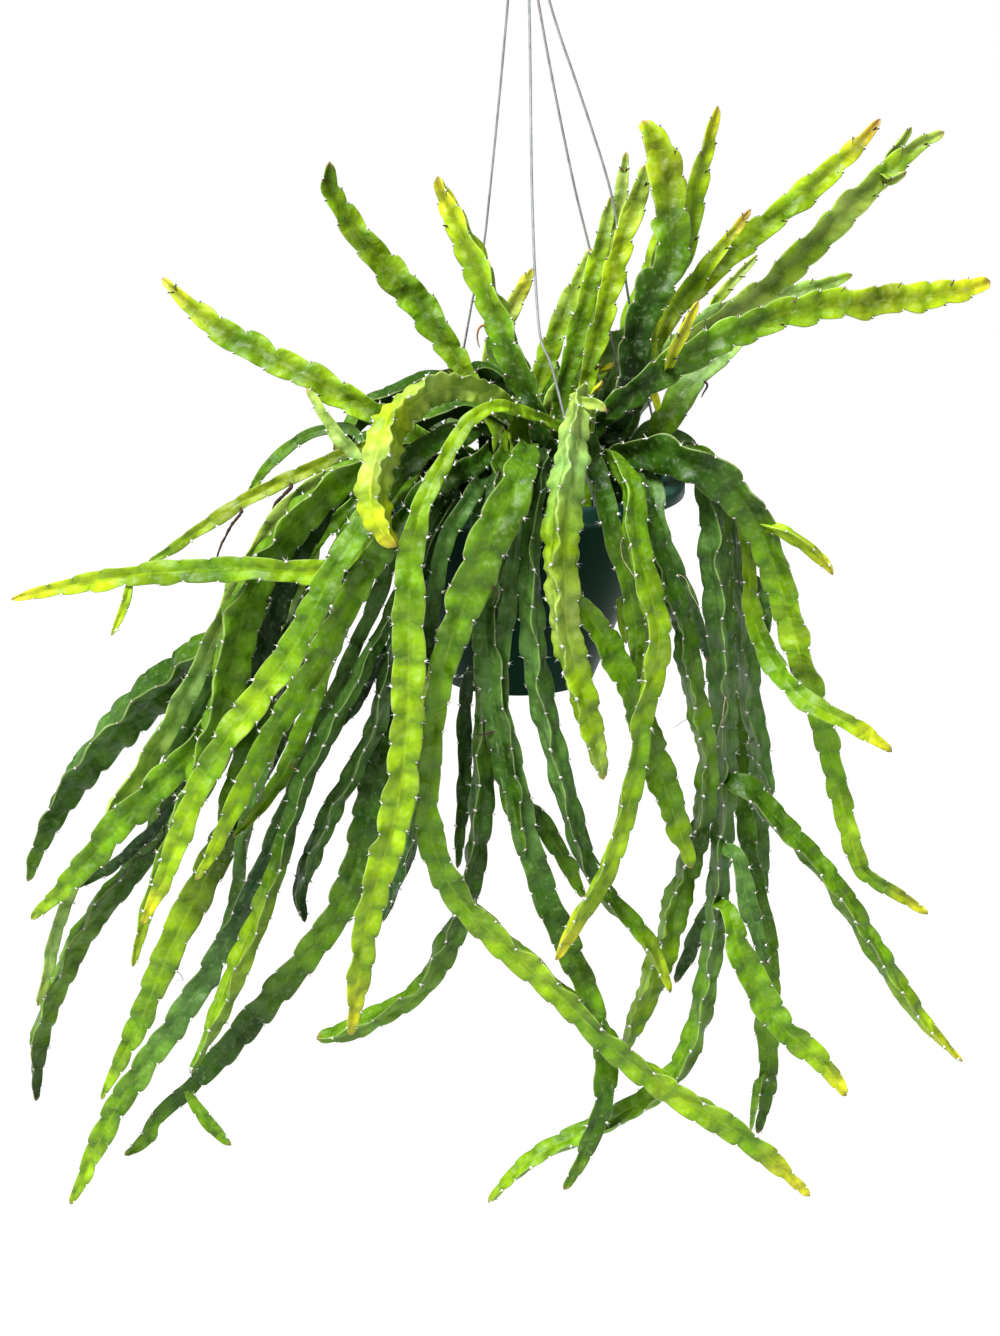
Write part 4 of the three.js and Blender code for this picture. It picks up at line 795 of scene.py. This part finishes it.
def winged_skin(limb, words, seed, rim_light=0.0, notch=1.0, crinkle=0.0, turned_by=0.0):
    """Points, faces and surface values of one limb, and the places of its wool tufts."""
    random = np.random.default_rng(seed)
    line, at, tangents, out, reach = limb_course(limb)
    over = np.cross(tangents, out)
    length = at[-1]
    sway = 0.16 * np.sin(at / (70 * MM) + random.uniform(0, 6.3)) + random.uniform(-0.08, 0.08) + turned_by
    gap = (NOTCH_GAP[0] + (NOTCH_GAP[1] - NOTCH_GAP[0]) * random.random()) * MM
    thick = np.maximum(reach, LEAST_THICK)
    verts, wings, lobes, shadings, tufts = [], [], [], [], []

    def pointing(turn):
        return out * np.cos(turn)[:, None] + over * np.sin(turn)[:, None]

    def strip(points, wing_share, lobe, shading):
        verts.append(points)
        wings.append(np.full(len(at), wing_share))
        lobes.append(lobe)
        shadings.append(shading)

    # Each wing is skinned up one flank, over its rim and down the other flank to the valley beside it.
    for k in range(3):
        angle = k * 2 * math.pi / 3
        spots, lobe, scallop, wave, shading = wing_edge(at, k, gap, random, notch, crinkle)
        wing = pointing(angle + sway)
        flank = np.cross(tangents, wing)
        edge = reach * EDGE_SHARE * scallop * (1 + 0.4 * crinkle * np.sin(at / (1.3 * MM) + k))
        swell = 1 + 0.3 * lobe
        for side in (-1, 1):
            for far, half in WING_OUTLINE[::-side]:
                lean = wave * reach * far**1.6
                full = np.maximum(half * thick * np.where(far < 0.9, swell, 1.0), LEAST_HALF)
                full = np.minimum(full, 0.55 * edge)
                points = line + wing * (edge * far)[:, None] + flank * (side * full + lean)[:, None]
                # Painted light and shade: one flank takes the lobe's full shading and the other a fifth of
                # it, and rim light paints the wing lighter towards its edge and darker towards the middle.
                own_shading = 1 + (shading - 1) * (0.6 + 0.4 * side)
                strip(points, far, lobe, own_shading * (1 + rim_light * (far - 0.75)))
            if side < 0:
                rim = line + wing * edge[:, None] + flank * (wave * reach)[:, None]
                # Rim light paints the rim lighter still.
                strip(rim, 1.0, lobe, shading * (1 + rim_light * 0.3))
        # Painted shade: the valley between two wings is darker, and darker still with rim light.
        valley = line + pointing(angle + math.pi / 3 + sway) * (reach * VALLEY_REACH)[:, None]
        strip(valley, 0.0, lobe, np.full(len(at), 0.85 - 0.4 * rim_light))
        for spot in spots[1:]:
            if 3 * MM < spot < length - 2 * MM:
                i = int(np.abs(at - spot).argmin())
                foot = line[i] + wing[i] * edge[i] * TUFT_SHARE + flank[i] * wave[i] * reach[i]
                tufts.append((foot, wing[i], tangents[i], flank[i]))
    # Each point's colour from its row of shades, times its painted light and shade.
    tint = colours_along(words, at / length)[:, None] * np.stack(shadings, axis=1)[:, :, None]
    if limb["has_tip"]:
        dry = np.clip(1 - (length - at) / DRY_TIP, 0, 1)[:, None, None]
        tint = tint * (1 - dry) + dry * np.array(shade(STEM_SHADES["tan"])[:3])
    wing_values, lobe_values = (np.stack(rows, axis=1).reshape(-1) for rows in (wings, lobes))
    skin = np.stack(verts, axis=1).reshape(-1, 3)
    return skin, skin_faces(len(at), len(verts)), (wing_values, lobe_values, tint.reshape(-1, 3)), tufts


TUFT_KNOT = np.array([(1, 0, 0), (-0.6, 0, 0), (0, 1, 0), (0, -1, 0), (0, 0, 1), (0, 0, -1)], float)
KNOT_FACES = [(0, 2, 4), (0, 4, 3), (0, 3, 5), (0, 5, 2), (1, 4, 2), (1, 3, 4), (1, 5, 3), (1, 2, 5)]
BRISTLE_FACES = [(0, 1, 3), (1, 2, 3), (2, 0, 3)]
SCALE_CORNERS = np.array([(-0.7, -1.5, 0.5), (-0.7, -1.5, -0.5), (0.7, -0.1, 0.0), (-0.6, 0.5, 0.0)])
SCALE_FACES = [(0, 1, 2), (0, 2, 3), (1, 3, 2)]
BRISTLES = 3
SKIN, WOOL, SCALE = range(3)


def wool_tuft(tuft, random, size, scale):
    """Points and faces of one areole: a knot of wool, a few bristles and the scale beneath it."""
    foot, wing, tangent, flank = tuft
    axes = np.array([wing, tangent, flank])
    verts, faces = [], []
    added(verts, faces, foot + (TUFT_KNOT * random.uniform(0.75, 1.2, (6, 1)) * size) @ axes, KNOT_FACES)
    for _ in range(BRISTLES):
        aim = np.array([random.uniform(0.5, 1.0), random.uniform(-0.8, 0.9), random.uniform(-0.8, 0.8)])
        aim = (aim / np.linalg.norm(aim)) @ axes
        beside = np.cross(aim, tangent + 0.3 * flank)
        beside /= np.linalg.norm(beside)
        above = np.cross(aim, beside)
        bristle = [
            foot + (beside * math.cos(angle) + above * math.sin(angle)) * 0.26 * size
            for angle in (0, 2.1, 4.2)
        ]
        bristle.append(foot + aim * size * random.uniform(2.0, 3.8))
        added(verts, faces, bristle, BRISTLE_FACES)
    kinds = [WOOL] * len(faces) + [SCALE] * len(SCALE_FACES)
    added(verts, faces, foot + (SCALE_CORNERS * scale) @ axes, SCALE_FACES)
    return verts, faces, kinds


def grown_value(tree, name, output):
    """A value that the mesh carries at each of its points."""
    node = tree.nodes.new("ShaderNodeAttribute")
    node.attribute_name = name
    return node.outputs[output]


def make_skin():
    """The stems' green skin, with painted shade in patches, fine specks and the creases at the notches,
    painted light on the lobes and midribs, and a pale rim that is partly its own and partly a painted
    highlight.
    """
    finish, tree, surface, masks = bare_finish("cactus_skin", 0.45, patch=62.0, speck=340.0, contrast=0.85)
    patches, specks = masks["Patches"], masks["Specks"]
    # The colour of each point, with its painted light and shade in it.
    colour_and_painted_shading = grown_value(tree, "colour_and_painted_shading", "Color")
    wing = grown_value(tree, "wing", "Fac")
    lobe = grown_value(tree, "lobe", "Fac")

    def toned(colour, *shading):
        return blended(tree, 1.0, colour, (*shading, 1), "MULTIPLY")

    def laid(under, over, value, low, high, most):
        return blended(tree, scaled(tree, value, low, high, 0.0, most), under, over)

    # Painted shade: darker in patches.
    body = laid(colour_and_painted_shading, toned(colour_and_painted_shading, 0.5, 0.6, 0.38), patches, 0, 1, 0.72)
    # Painted light: a lighter copy of the colour, laid on the middle of each lobe.
    lit = toned(colour_and_painted_shading, 1.42, 1.3, 1.1)
    body = laid(body, lit, lobe, 0.4, 1.0, 0.46)
    # Painted shade in the creases beside each notch.
    body = laid(body, toned(body, 0.56, 0.66, 0.42), lobe, 0.45, 0.0, 0.62)
    # Painted light along the midrib in the valley between two wings.
    body = laid(body, lit, wing, 0.2, 0.0, 0.75)
    # Painted shade in fine specks; the pale specks next are the skin's own.
    body = laid(body, toned(body, 0.66, 0.74, 0.56), specks, 0.45, 0.0, 0.4)
    body = laid(body, "#c3d3a0", specks, 0.78, 1.0, 0.1)
    # The pale rim is partly the wing's own pale edge and partly a painted highlight.
    body = laid(body, "#c3d08a", wing, 0.95, 1.0, 0.5)
    between_lobes = scaled(tree, lobe, 0.3, 0.0, 0.0, 0.75)
    nick = worked_out(tree, "MULTIPLY", between_lobes, scaled(tree, wing, 0.86, 1.0))
    feed(tree, surface, "Base Color", blended(tree, nick, body, "#6b5420"))
    feed(tree, surface, "Roughness", scaled(tree, specks, 0, 1, 0.36, 0.55))
    feed(tree, surface, "Specular IOR Level", 0.3)
    raised(tree, surface, worked_out(tree, "MULTIPLY_ADD", specks, 0.05, patches), 0.8, 3.2 * MM)
    return finish


cactus_skin = make_skin()
areole_wool = two_toned("areole_wool", 0.95, "Specks", "#e9e6da", "#ffffff", speck=2500.0)
dry_scale = two_toned("dry_scale", 0.8, "Specks", "#3a2c18", "#75592c", speck=2500.0)


def stem_piece(name, limbs, looks, seed, wool=0.95 * MM, scale=1.0 * MM, **ways):
    """One piece of winged limbs with the tufts on their edges, and the places of those tufts.

    Each limb has its own row of shades, and the last row serves any limbs left over.
    """
    random = np.random.default_rng(seed)
    verts, faces, kinds, spots = [], [], [], []
    wings, lobes, tints = [], [], []
    for i, limb in enumerate(limbs):
        words = looks[min(i, len(looks) - 1)]
        skin, skin_sides, values, tufts = winged_skin(limb, words, seed * 31 + i, **ways)
        added(verts, faces, skin, skin_sides)
        kinds += [SKIN] * len(skin_sides)
        for store, numbers in zip((wings, lobes, tints), values):
            store.append(numbers)
        spots += tufts
        for tuft in tufts:
            points, sides, kind = wool_tuft(tuft, random, wool * random.uniform(0.7, 1.3), scale)
            added(verts, faces, points, sides)
            kinds += kind
            wings.append(np.ones(len(points)))
            lobes.append(np.zeros(len(points)))
            tints.append(np.ones((len(points), 3)))
    piece = new_piece(name, verts, faces, cactus_skin, areole_wool, dry_scale, kinds=kinds)
    # Each point's colour, with the painted light and shade of the skin in it.
    colours = np.column_stack([np.vstack(tints), np.ones(len(verts))]).reshape(-1)
    for value, sort, key, numbers in (
        ("wing", "FLOAT", "value", np.concatenate(wings)),
        ("lobe", "FLOAT", "value", np.concatenate(lobes)),
        ("colour_and_painted_shading", "FLOAT_COLOR", "color", colours),
    ):
        layer = piece.data.attributes.new(value, sort, "POINT")
        layer.data.foreach_set(key, numbers.astype(np.float32))
    piece.data.update()
    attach(piece, "root")
    return piece, spots


grown = {}


def grow_stem(kind, number, looks, seed, **ways):
    """One stem with its side stems as one piece, made from its CAD node, which is hidden."""
    name = f"stem_{kind}_{number}"
    limbs = limbs_of(nodes[name])
    piece, grown[name] = stem_piece(name + "_grown", limbs, looks.split(" / "), seed + number, **ways)
    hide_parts(name)


# Upper stems: the younger, firmer stems that rise and arch over the basket in full light. They are
# bright green to yellow-green, and two have an amber growing tip. A table of looks gives the shades of
# each stem by its number, foot to tip, with a slash between its limbs.
UPPER_LOOKS = {
    1: "forest leaf bright bright leaf lime yellow",
    2: "leaf bright leaf bright bright leaf",
    3: "deep forest leaf bright lime yellow",
    4: "leaf pale pale yellow",
    5: "leaf bright pale",
    6: "forest leaf bright pale",
    7: "leaf bright pale pale",
    8: "leaf bright lime pale",
    9: "deep deep forest leaf olive lime / leaf lime yellow / leaf bright lime yellow",
    10: "forest leaf olive bright bright lime amber",
    11: "forest leaf olive bright lime amber",
    12: "forest bright pale bright pale bright pale / bright pale / bright pale / leaf bright lime",
    13: "deep forest leaf bright olive lime yellow / lime yellow",
    14: "leaf mint mint bright / lime pale pale",
    15: "forest leaf mint pale",
    16: "leaf pale mint pale",
}
for number, looks in UPPER_LOOKS.items():
    grow_stem("top", number, looks, 99, wool=0.75 * MM, scale=2.1 * MM, rim_light=1.0, notch=1.45)


# Front stems: stems that come over the rim and fall in front of the basket and to the right of it,
# old ones grey-green and narrow, young ones wide and yellow-green at the tip. Three have crinkled
# wings, and one of them turns its ridge to the viewer.
FRONT_LOOKS = {
    1: "pale pale mint bright pale bright bright pale / pale pale / leaf leaf leaf bright",
    2: "leaf leaf bright leaf bright bright yellow",
    3: "deep forest leaf leaf / leaf bright",
    4: "grey grey teal",
    5: "forest forest leaf forest leaf bright leaf",
    6: "grey grey grey leaf leaf bright / forest leaf leaf bright yellow / grey grey"
       " / leaf leaf leaf bright yellow / grey teal",
    7: "teal grey grey grey / grey grey",
    8: "forest leaf forest leaf forest / leaf leaf",
    9: "deep forest leaf bright leaf leaf bright leaf yellow / bright lime yellow",
    10: "forest leaf bright leaf leaf bright yellow / grey grey",
    11: "teal grey grey grey forest leaf lime",
    12: "teal grey grey forest leaf forest leaf / forest leaf",
    13: "forest leaf forest forest leaf leaf / deep forest",
    14: "forest leaf leaf leaf bright leaf bright leaf yellow",
    15: "leaf bright leaf bright bright bright bright yellow",
    16: "leaf bright pale pale lime pale lime yellow",
    17: "teal grey teal",
}
CRINKLED = {16: 0.11, 1: 0.06, 5: 0.06}
RIDGE_FORWARD = {16: math.pi / 3}
for number, looks in FRONT_LOOKS.items():
    ways = {"crinkle": CRINKLED.get(number, 0), "turned_by": RIDGE_FORWARD.get(number, 0)}
    grow_stem("front", number, looks, 199, **ways)


# Left stems: the long stems that fan out over the left of the rim and hang in layers, the outer
# ones lit and green, the inner ones in shade and grey to dark teal.
LEFT_LOOKS = {
    1: "leaf leaf bright leaf bright lime yellow / bright lime",
    2: "forest olive olive leaf / grey leaf",
    3: "deep forest leaf leaf bright leaf bright bright yellow",
    4: "forest leaf forest grey forest leaf",
    5: "mint pale mint pale pale mint pale",
    6: "forest leaf leaf leaf leaf bright / teal teal grey",
    7: "forest leaf forest leaf deep",
    8: "forest leaf leaf leaf leaf lime / mint pale / teal deep teal",
    9: "forest forest leaf leaf leaf bright lime / forest leaf leaf bright",
    10: "grey grey forest bright leaf",
    11: "grey teal grey grey teal / teal deep",
    12: "deep forest forest leaf forest forest leaf / grey teal / leaf leaf",
    13: "deep forest deep bright leaf bright / grey grey",
    14: "grey grey teal grey leaf bright",
}
for number, looks in LEFT_LOOKS.items():
    grow_stem("left", number, looks, 299)


# Back stems: green stems of middle age that stand and hang behind the basket, since the plant grows
# all round. They have the same wings and tufts as the others and grow from the potting mix.
BACK_LOOKS = {
    1: "forest leaf leaf bright lime",
    2: "teal forest leaf leaf bright",
    3: "forest leaf leaf lime",
    4: "deep forest leaf leaf bright",
    5: "grey forest leaf bright yellow",
    6: "forest leaf bright lime",
}
for number, looks in BACK_LOOKS.items():
    grow_stem("back", number, looks, 399)


# Inner stems: dark stems in the shade of the others, short ones in the crown and three that hang. They
# grow from the potting mix between the feet of the long stems and fill the gaps over and beside the
# rim. Each is a row of places in millimetres, foot to tip.
INNER_STEMS = [
    [(15, 32, -400), (14, 36, -368), (-16, 44, -325), (-45, 38, -326), (-72, 28, -332),
     (-96, 18, -345), (-111, 10, -366)],
    [(-4, 6, -400), (-4, 12, -353), (-34, 14, -339), (-63, 6, -347), (-87, -4, -366),
     (-101, -10, -393), (-107, -14, -418)],
    [(2, 44, -400), (1, 46, -345), (-6, 52, -328), (-11, 56, -308), (-13, 60, -293)],
    [(20, 50, -400), (19, 52, -344), (22, 58, -326), (19, 62, -308)],
    [(62, 38, -400), (69, 44, -357), (79, 52, -340), (84, 58, -317)],
    [(38, 26, -400), (41, 30, -355), (47, 38, -336), (45, 44, -317)],
    [(-30, 10, -400), (-54, -6, -360), (-94, -30, -366), (-128, -48, -414), (-162, -52, -468),
     (-192, -54, -515), (-216, -52, -564), (-228, -50, -598)],
    [(-25, -20, -400), (-46, -36, -362), (-76, -56, -370), (-102, -62, -414), (-128, -66, -464),
     (-152, -66, -514), (-172, -64, -566), (-183, -62, -606)],
    [(-18, -55, -400), (-18, -78, -368), (-18, -104, -370), (-18, -113, -404), (-17, -115, -449),
     (-11, -116, -496), (-3, -112, -540), (3, -108, -580)],
]
# Their shades start very dark at the foot: partly the stems' own dark green and partly painted shade, as
# they stand in the shade of the others.
INNER_LOOKS = [
    "deep forest forest leaf", "deep forest leaf forest leaf", "deep forest leaf", "deep forest leaf",
    "deep forest leaf", "deep forest leaf", "deep forest grey grey leaf", "deep grey forest leaf leaf",
    "teal grey grey forest leaf",
]
INNER_REACH = 9.5 * MM
inner = []
for places in INNER_STEMS:
    shares = [0.7] + [1.0] * (len(places) - 2) + [0.35]
    inner.append({
        "centres": [np.array(place) * MM for place in places],
        "reaches": [INNER_REACH * share for share in shares],
        "outs": [np.array([0.3, -0.9, 0.3])] * len(places),
        "has_tip": True,
    })
stem_piece("inner_stems", inner, INNER_LOOKS, 450)


# Young shoots: tiny yellow stems, still soft, that have just broken from the wool of an areole in the
# crown. Each is given by its stem, the number of the areole, its length and the reach of its wings in
# millimetres.
YOUNG_SHOOTS = [
    ("stem_top_8", 14, 11, 2.2), ("stem_top_15", 3, 17, 3.2), ("stem_top_16", 11, 15, 3.0),
]
young = []
for name, spot, *sizes in YOUNG_SHOOTS:
    foot, wing, tangent, flank = grown[name][spot]
    length, reach = (size * MM for size in sizes)
    aim = wing + 0.7 * tangent + np.array([0, 0, 0.9])
    aim /= np.linalg.norm(aim)
    beside = np.cross(aim, flank)
    beside /= np.linalg.norm(beside)
    young.append({
        "centres": [
            foot - aim * 2 * MM, foot + aim * 0.3 * length,
            foot + aim * 0.7 * length + wing * 0.8 * MM, foot + aim * length,
        ],
        "reaches": [0.5 * reach, reach, 0.85 * reach, 0.0],
        "outs": [beside] * 4,
        "has_tip": True,
    })
stem_piece("young_shoots", young, ["lime yellow yellow"], 500, wool=0.4 * MM, scale=0.5 * MM)


# Aerial roots: thin tan threads that sprout from the areoles of the older stems and curl as they dry,
# and a few dark strands that have died off. Each is given by its stem, the number of the areole, its
# length and half thickness in millimetres and its skin.
BROWN, DEAD, PALE = range(3)
ROOTS = [
    ("stem_front_4", 12, 30, 0.4, BROWN), ("stem_front_10", 34, 18, 0.35, BROWN),
    ("stem_front_6", 50, 56, 0.42, PALE), ("stem_front_6", 12, 44, 0.36, PALE),
    ("stem_front_6", 49, 50, 0.42, PALE), ("stem_front_2", 26, 42, 0.34, PALE),
    ("stem_front_5", 27, 36, 0.26, PALE), ("stem_front_5", 49, 24, 0.26, PALE),
    ("stem_left_6", 78, 30, 0.5, DEAD), ("stem_left_6", 70, 22, 0.5, DEAD),
    ("stem_top_1", 18, 15, 0.5, DEAD), ("stem_front_16", 22, 13, 0.4, DEAD),
    ("stem_top_3", 7, 14, 0.8, BROWN), ("stem_front_13", 35, 12, 0.8, DEAD),
    ("stem_front_14", 43, 10, 0.7, DEAD), ("stem_top_15", 11, 12, 0.9, DEAD),
    ("stem_front_12", 10, 9, 0.8, DEAD), ("stem_left_10", 12, 24, 0.35, BROWN),
    ("stem_left_13", 18, 26, 0.35, BROWN), ("stem_left_12", 22, 20, 0.35, BROWN),
    ("stem_back_2", 14, 28, 0.4, BROWN), ("stem_back_4", 12, 24, 0.35, BROWN),
    ("stem_back_5", 29, 22, 0.35, BROWN),
]
DEAD_STRANDS = [
    ("stem_left_2", 19, 50, 1.2), ("stem_left_2", 21, 34, 1.0),
]
ROOT_START = 1.5 * MM
DOWN = np.array([0, 0, -1.0])
random = np.random.default_rng(61)


def thread_line(foot, wing, aim, length, steps, droop, stray, curl):
    """The line of a thread that leaves its areole along an aim and droops, curls and strays."""
    points = [foot - wing * ROOT_START, foot + wing * ROOT_START]
    for _ in range(steps):
        aim = aim + droop * DOWN + 0.4 * np.cross(curl, aim) + random.uniform(-stray, stray, 3)
        aim /= np.linalg.norm(aim)
        points.append(points[-1] + aim * length / steps)
    return points


verts, faces, kinds = [], [], []
for name, spot, length, thick, kind in ROOTS:
    foot, wing, tangent, flank = grown[name][spot]
    curl = random.uniform(-1, 1, 3)
    line = thread_line(foot, wing, wing + 0.3 * tangent, length * MM, 10, 0.3, 0.22, curl)
    thread, sides = drawn_wire(line, thick * MM, sides=6, step=1.2 * MM, facing=flank, far_share=0.35)
    added(verts, faces, thread, sides)
    kinds += [kind] * len(sides)
for name, spot, length, thick in DEAD_STRANDS:
    foot, wing, tangent, flank = grown[name][spot]
    aim = 1.4 * tangent + DOWN
    line = thread_line(foot, wing, aim / np.linalg.norm(aim), length * MM, 8, 0.1, 0.3, np.zeros(3))
    strand, sides = drawn_wire(line, thick * MM, sides=7, step=1.5 * MM, facing=flank, far_share=0.5)
    added(verts, faces, strand + random.normal(0, 0.16 * (thick * MM), strand.shape), sides)
    kinds += [DEAD] * len(sides)
root_skins = [
    two_toned(name, 0.8, "Patches", first, second, (0.4, 0.2 * MM), patch=500.0, speck=3000.0)
    for name, first, second in (
        ("root_skin", "#c58a4c", "#8f6336"), ("dead_root_skin", "#4a3020", "#2a1c14"),
        ("pale_root_skin", "#d9cda4", "#a89a6c"),
    )
]
threads = new_piece("aerial_roots", verts, faces, *root_skins, kinds=kinds)
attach(threads, "root")


# Studio: a plain pale floor far below the hanging basket, soft light from above and all round, and
# the camera where the picture was taken from.
FLOOR_Z = -1.9
FLOOR_REACH = 9
EYE = (-0.011, -1.059, -0.170)
TILT = math.radians(17.4)
PICTURE_HEIGHT = 1336
FOCAL_PIXELS = 1760
SKY_LIGHT = 0.165
LAMP_STRENGTH = 5.6
LAMP_SPREAD = math.radians(38)
LAMP_TURN = (math.radians(24), math.radians(-22), 0)

pale_floor = two_toned("pale_floor", 0.9, "Patches", "#d6d6d5", "#dadad9", patch=2.0)
corners = [(x * FLOOR_REACH, y * FLOOR_REACH, FLOOR_Z) for x, y in ((-1, -1), (1, -1), (1, 1), (-1, 1))]
floor = new_piece("studio_floor", corners, [(0, 1, 2, 3)], pale_floor)

world = bpy.data.worlds.new("studio")
bpy.context.scene.world = world
world.use_nodes = True
tree = world.node_tree
sky = tree.nodes["Background"]
feed(tree, sky, "Color", (1, 1, 1, 1))
ray = tree.nodes.new("ShaderNodeLightPath")
feed(tree, sky, "Strength", scaled(tree, ray.outputs["Is Camera Ray"], 0, 1, SKY_LIGHT, 1.0))

lamp = bpy.data.lights.new("overhead_softbox", "SUN")
lamp.energy = LAMP_STRENGTH
lamp.angle = LAMP_SPREAD
placed("overhead_softbox", lamp).rotation_euler = LAMP_TURN

eye = bpy.data.cameras.new("picture_camera")
eye.sensor_fit = "VERTICAL"
eye.sensor_height = 36
eye.lens = FOCAL_PIXELS / PICTURE_HEIGHT * eye.sensor_height
eye.clip_end = 60
camera = placed("picture_camera", eye)
camera.location = EYE
camera.rotation_euler = (math.pi / 2 - TILT, 0, 0)
bpy.context.scene.camera = camera
bpy.context.scene.view_settings.view_transform = "Standard"
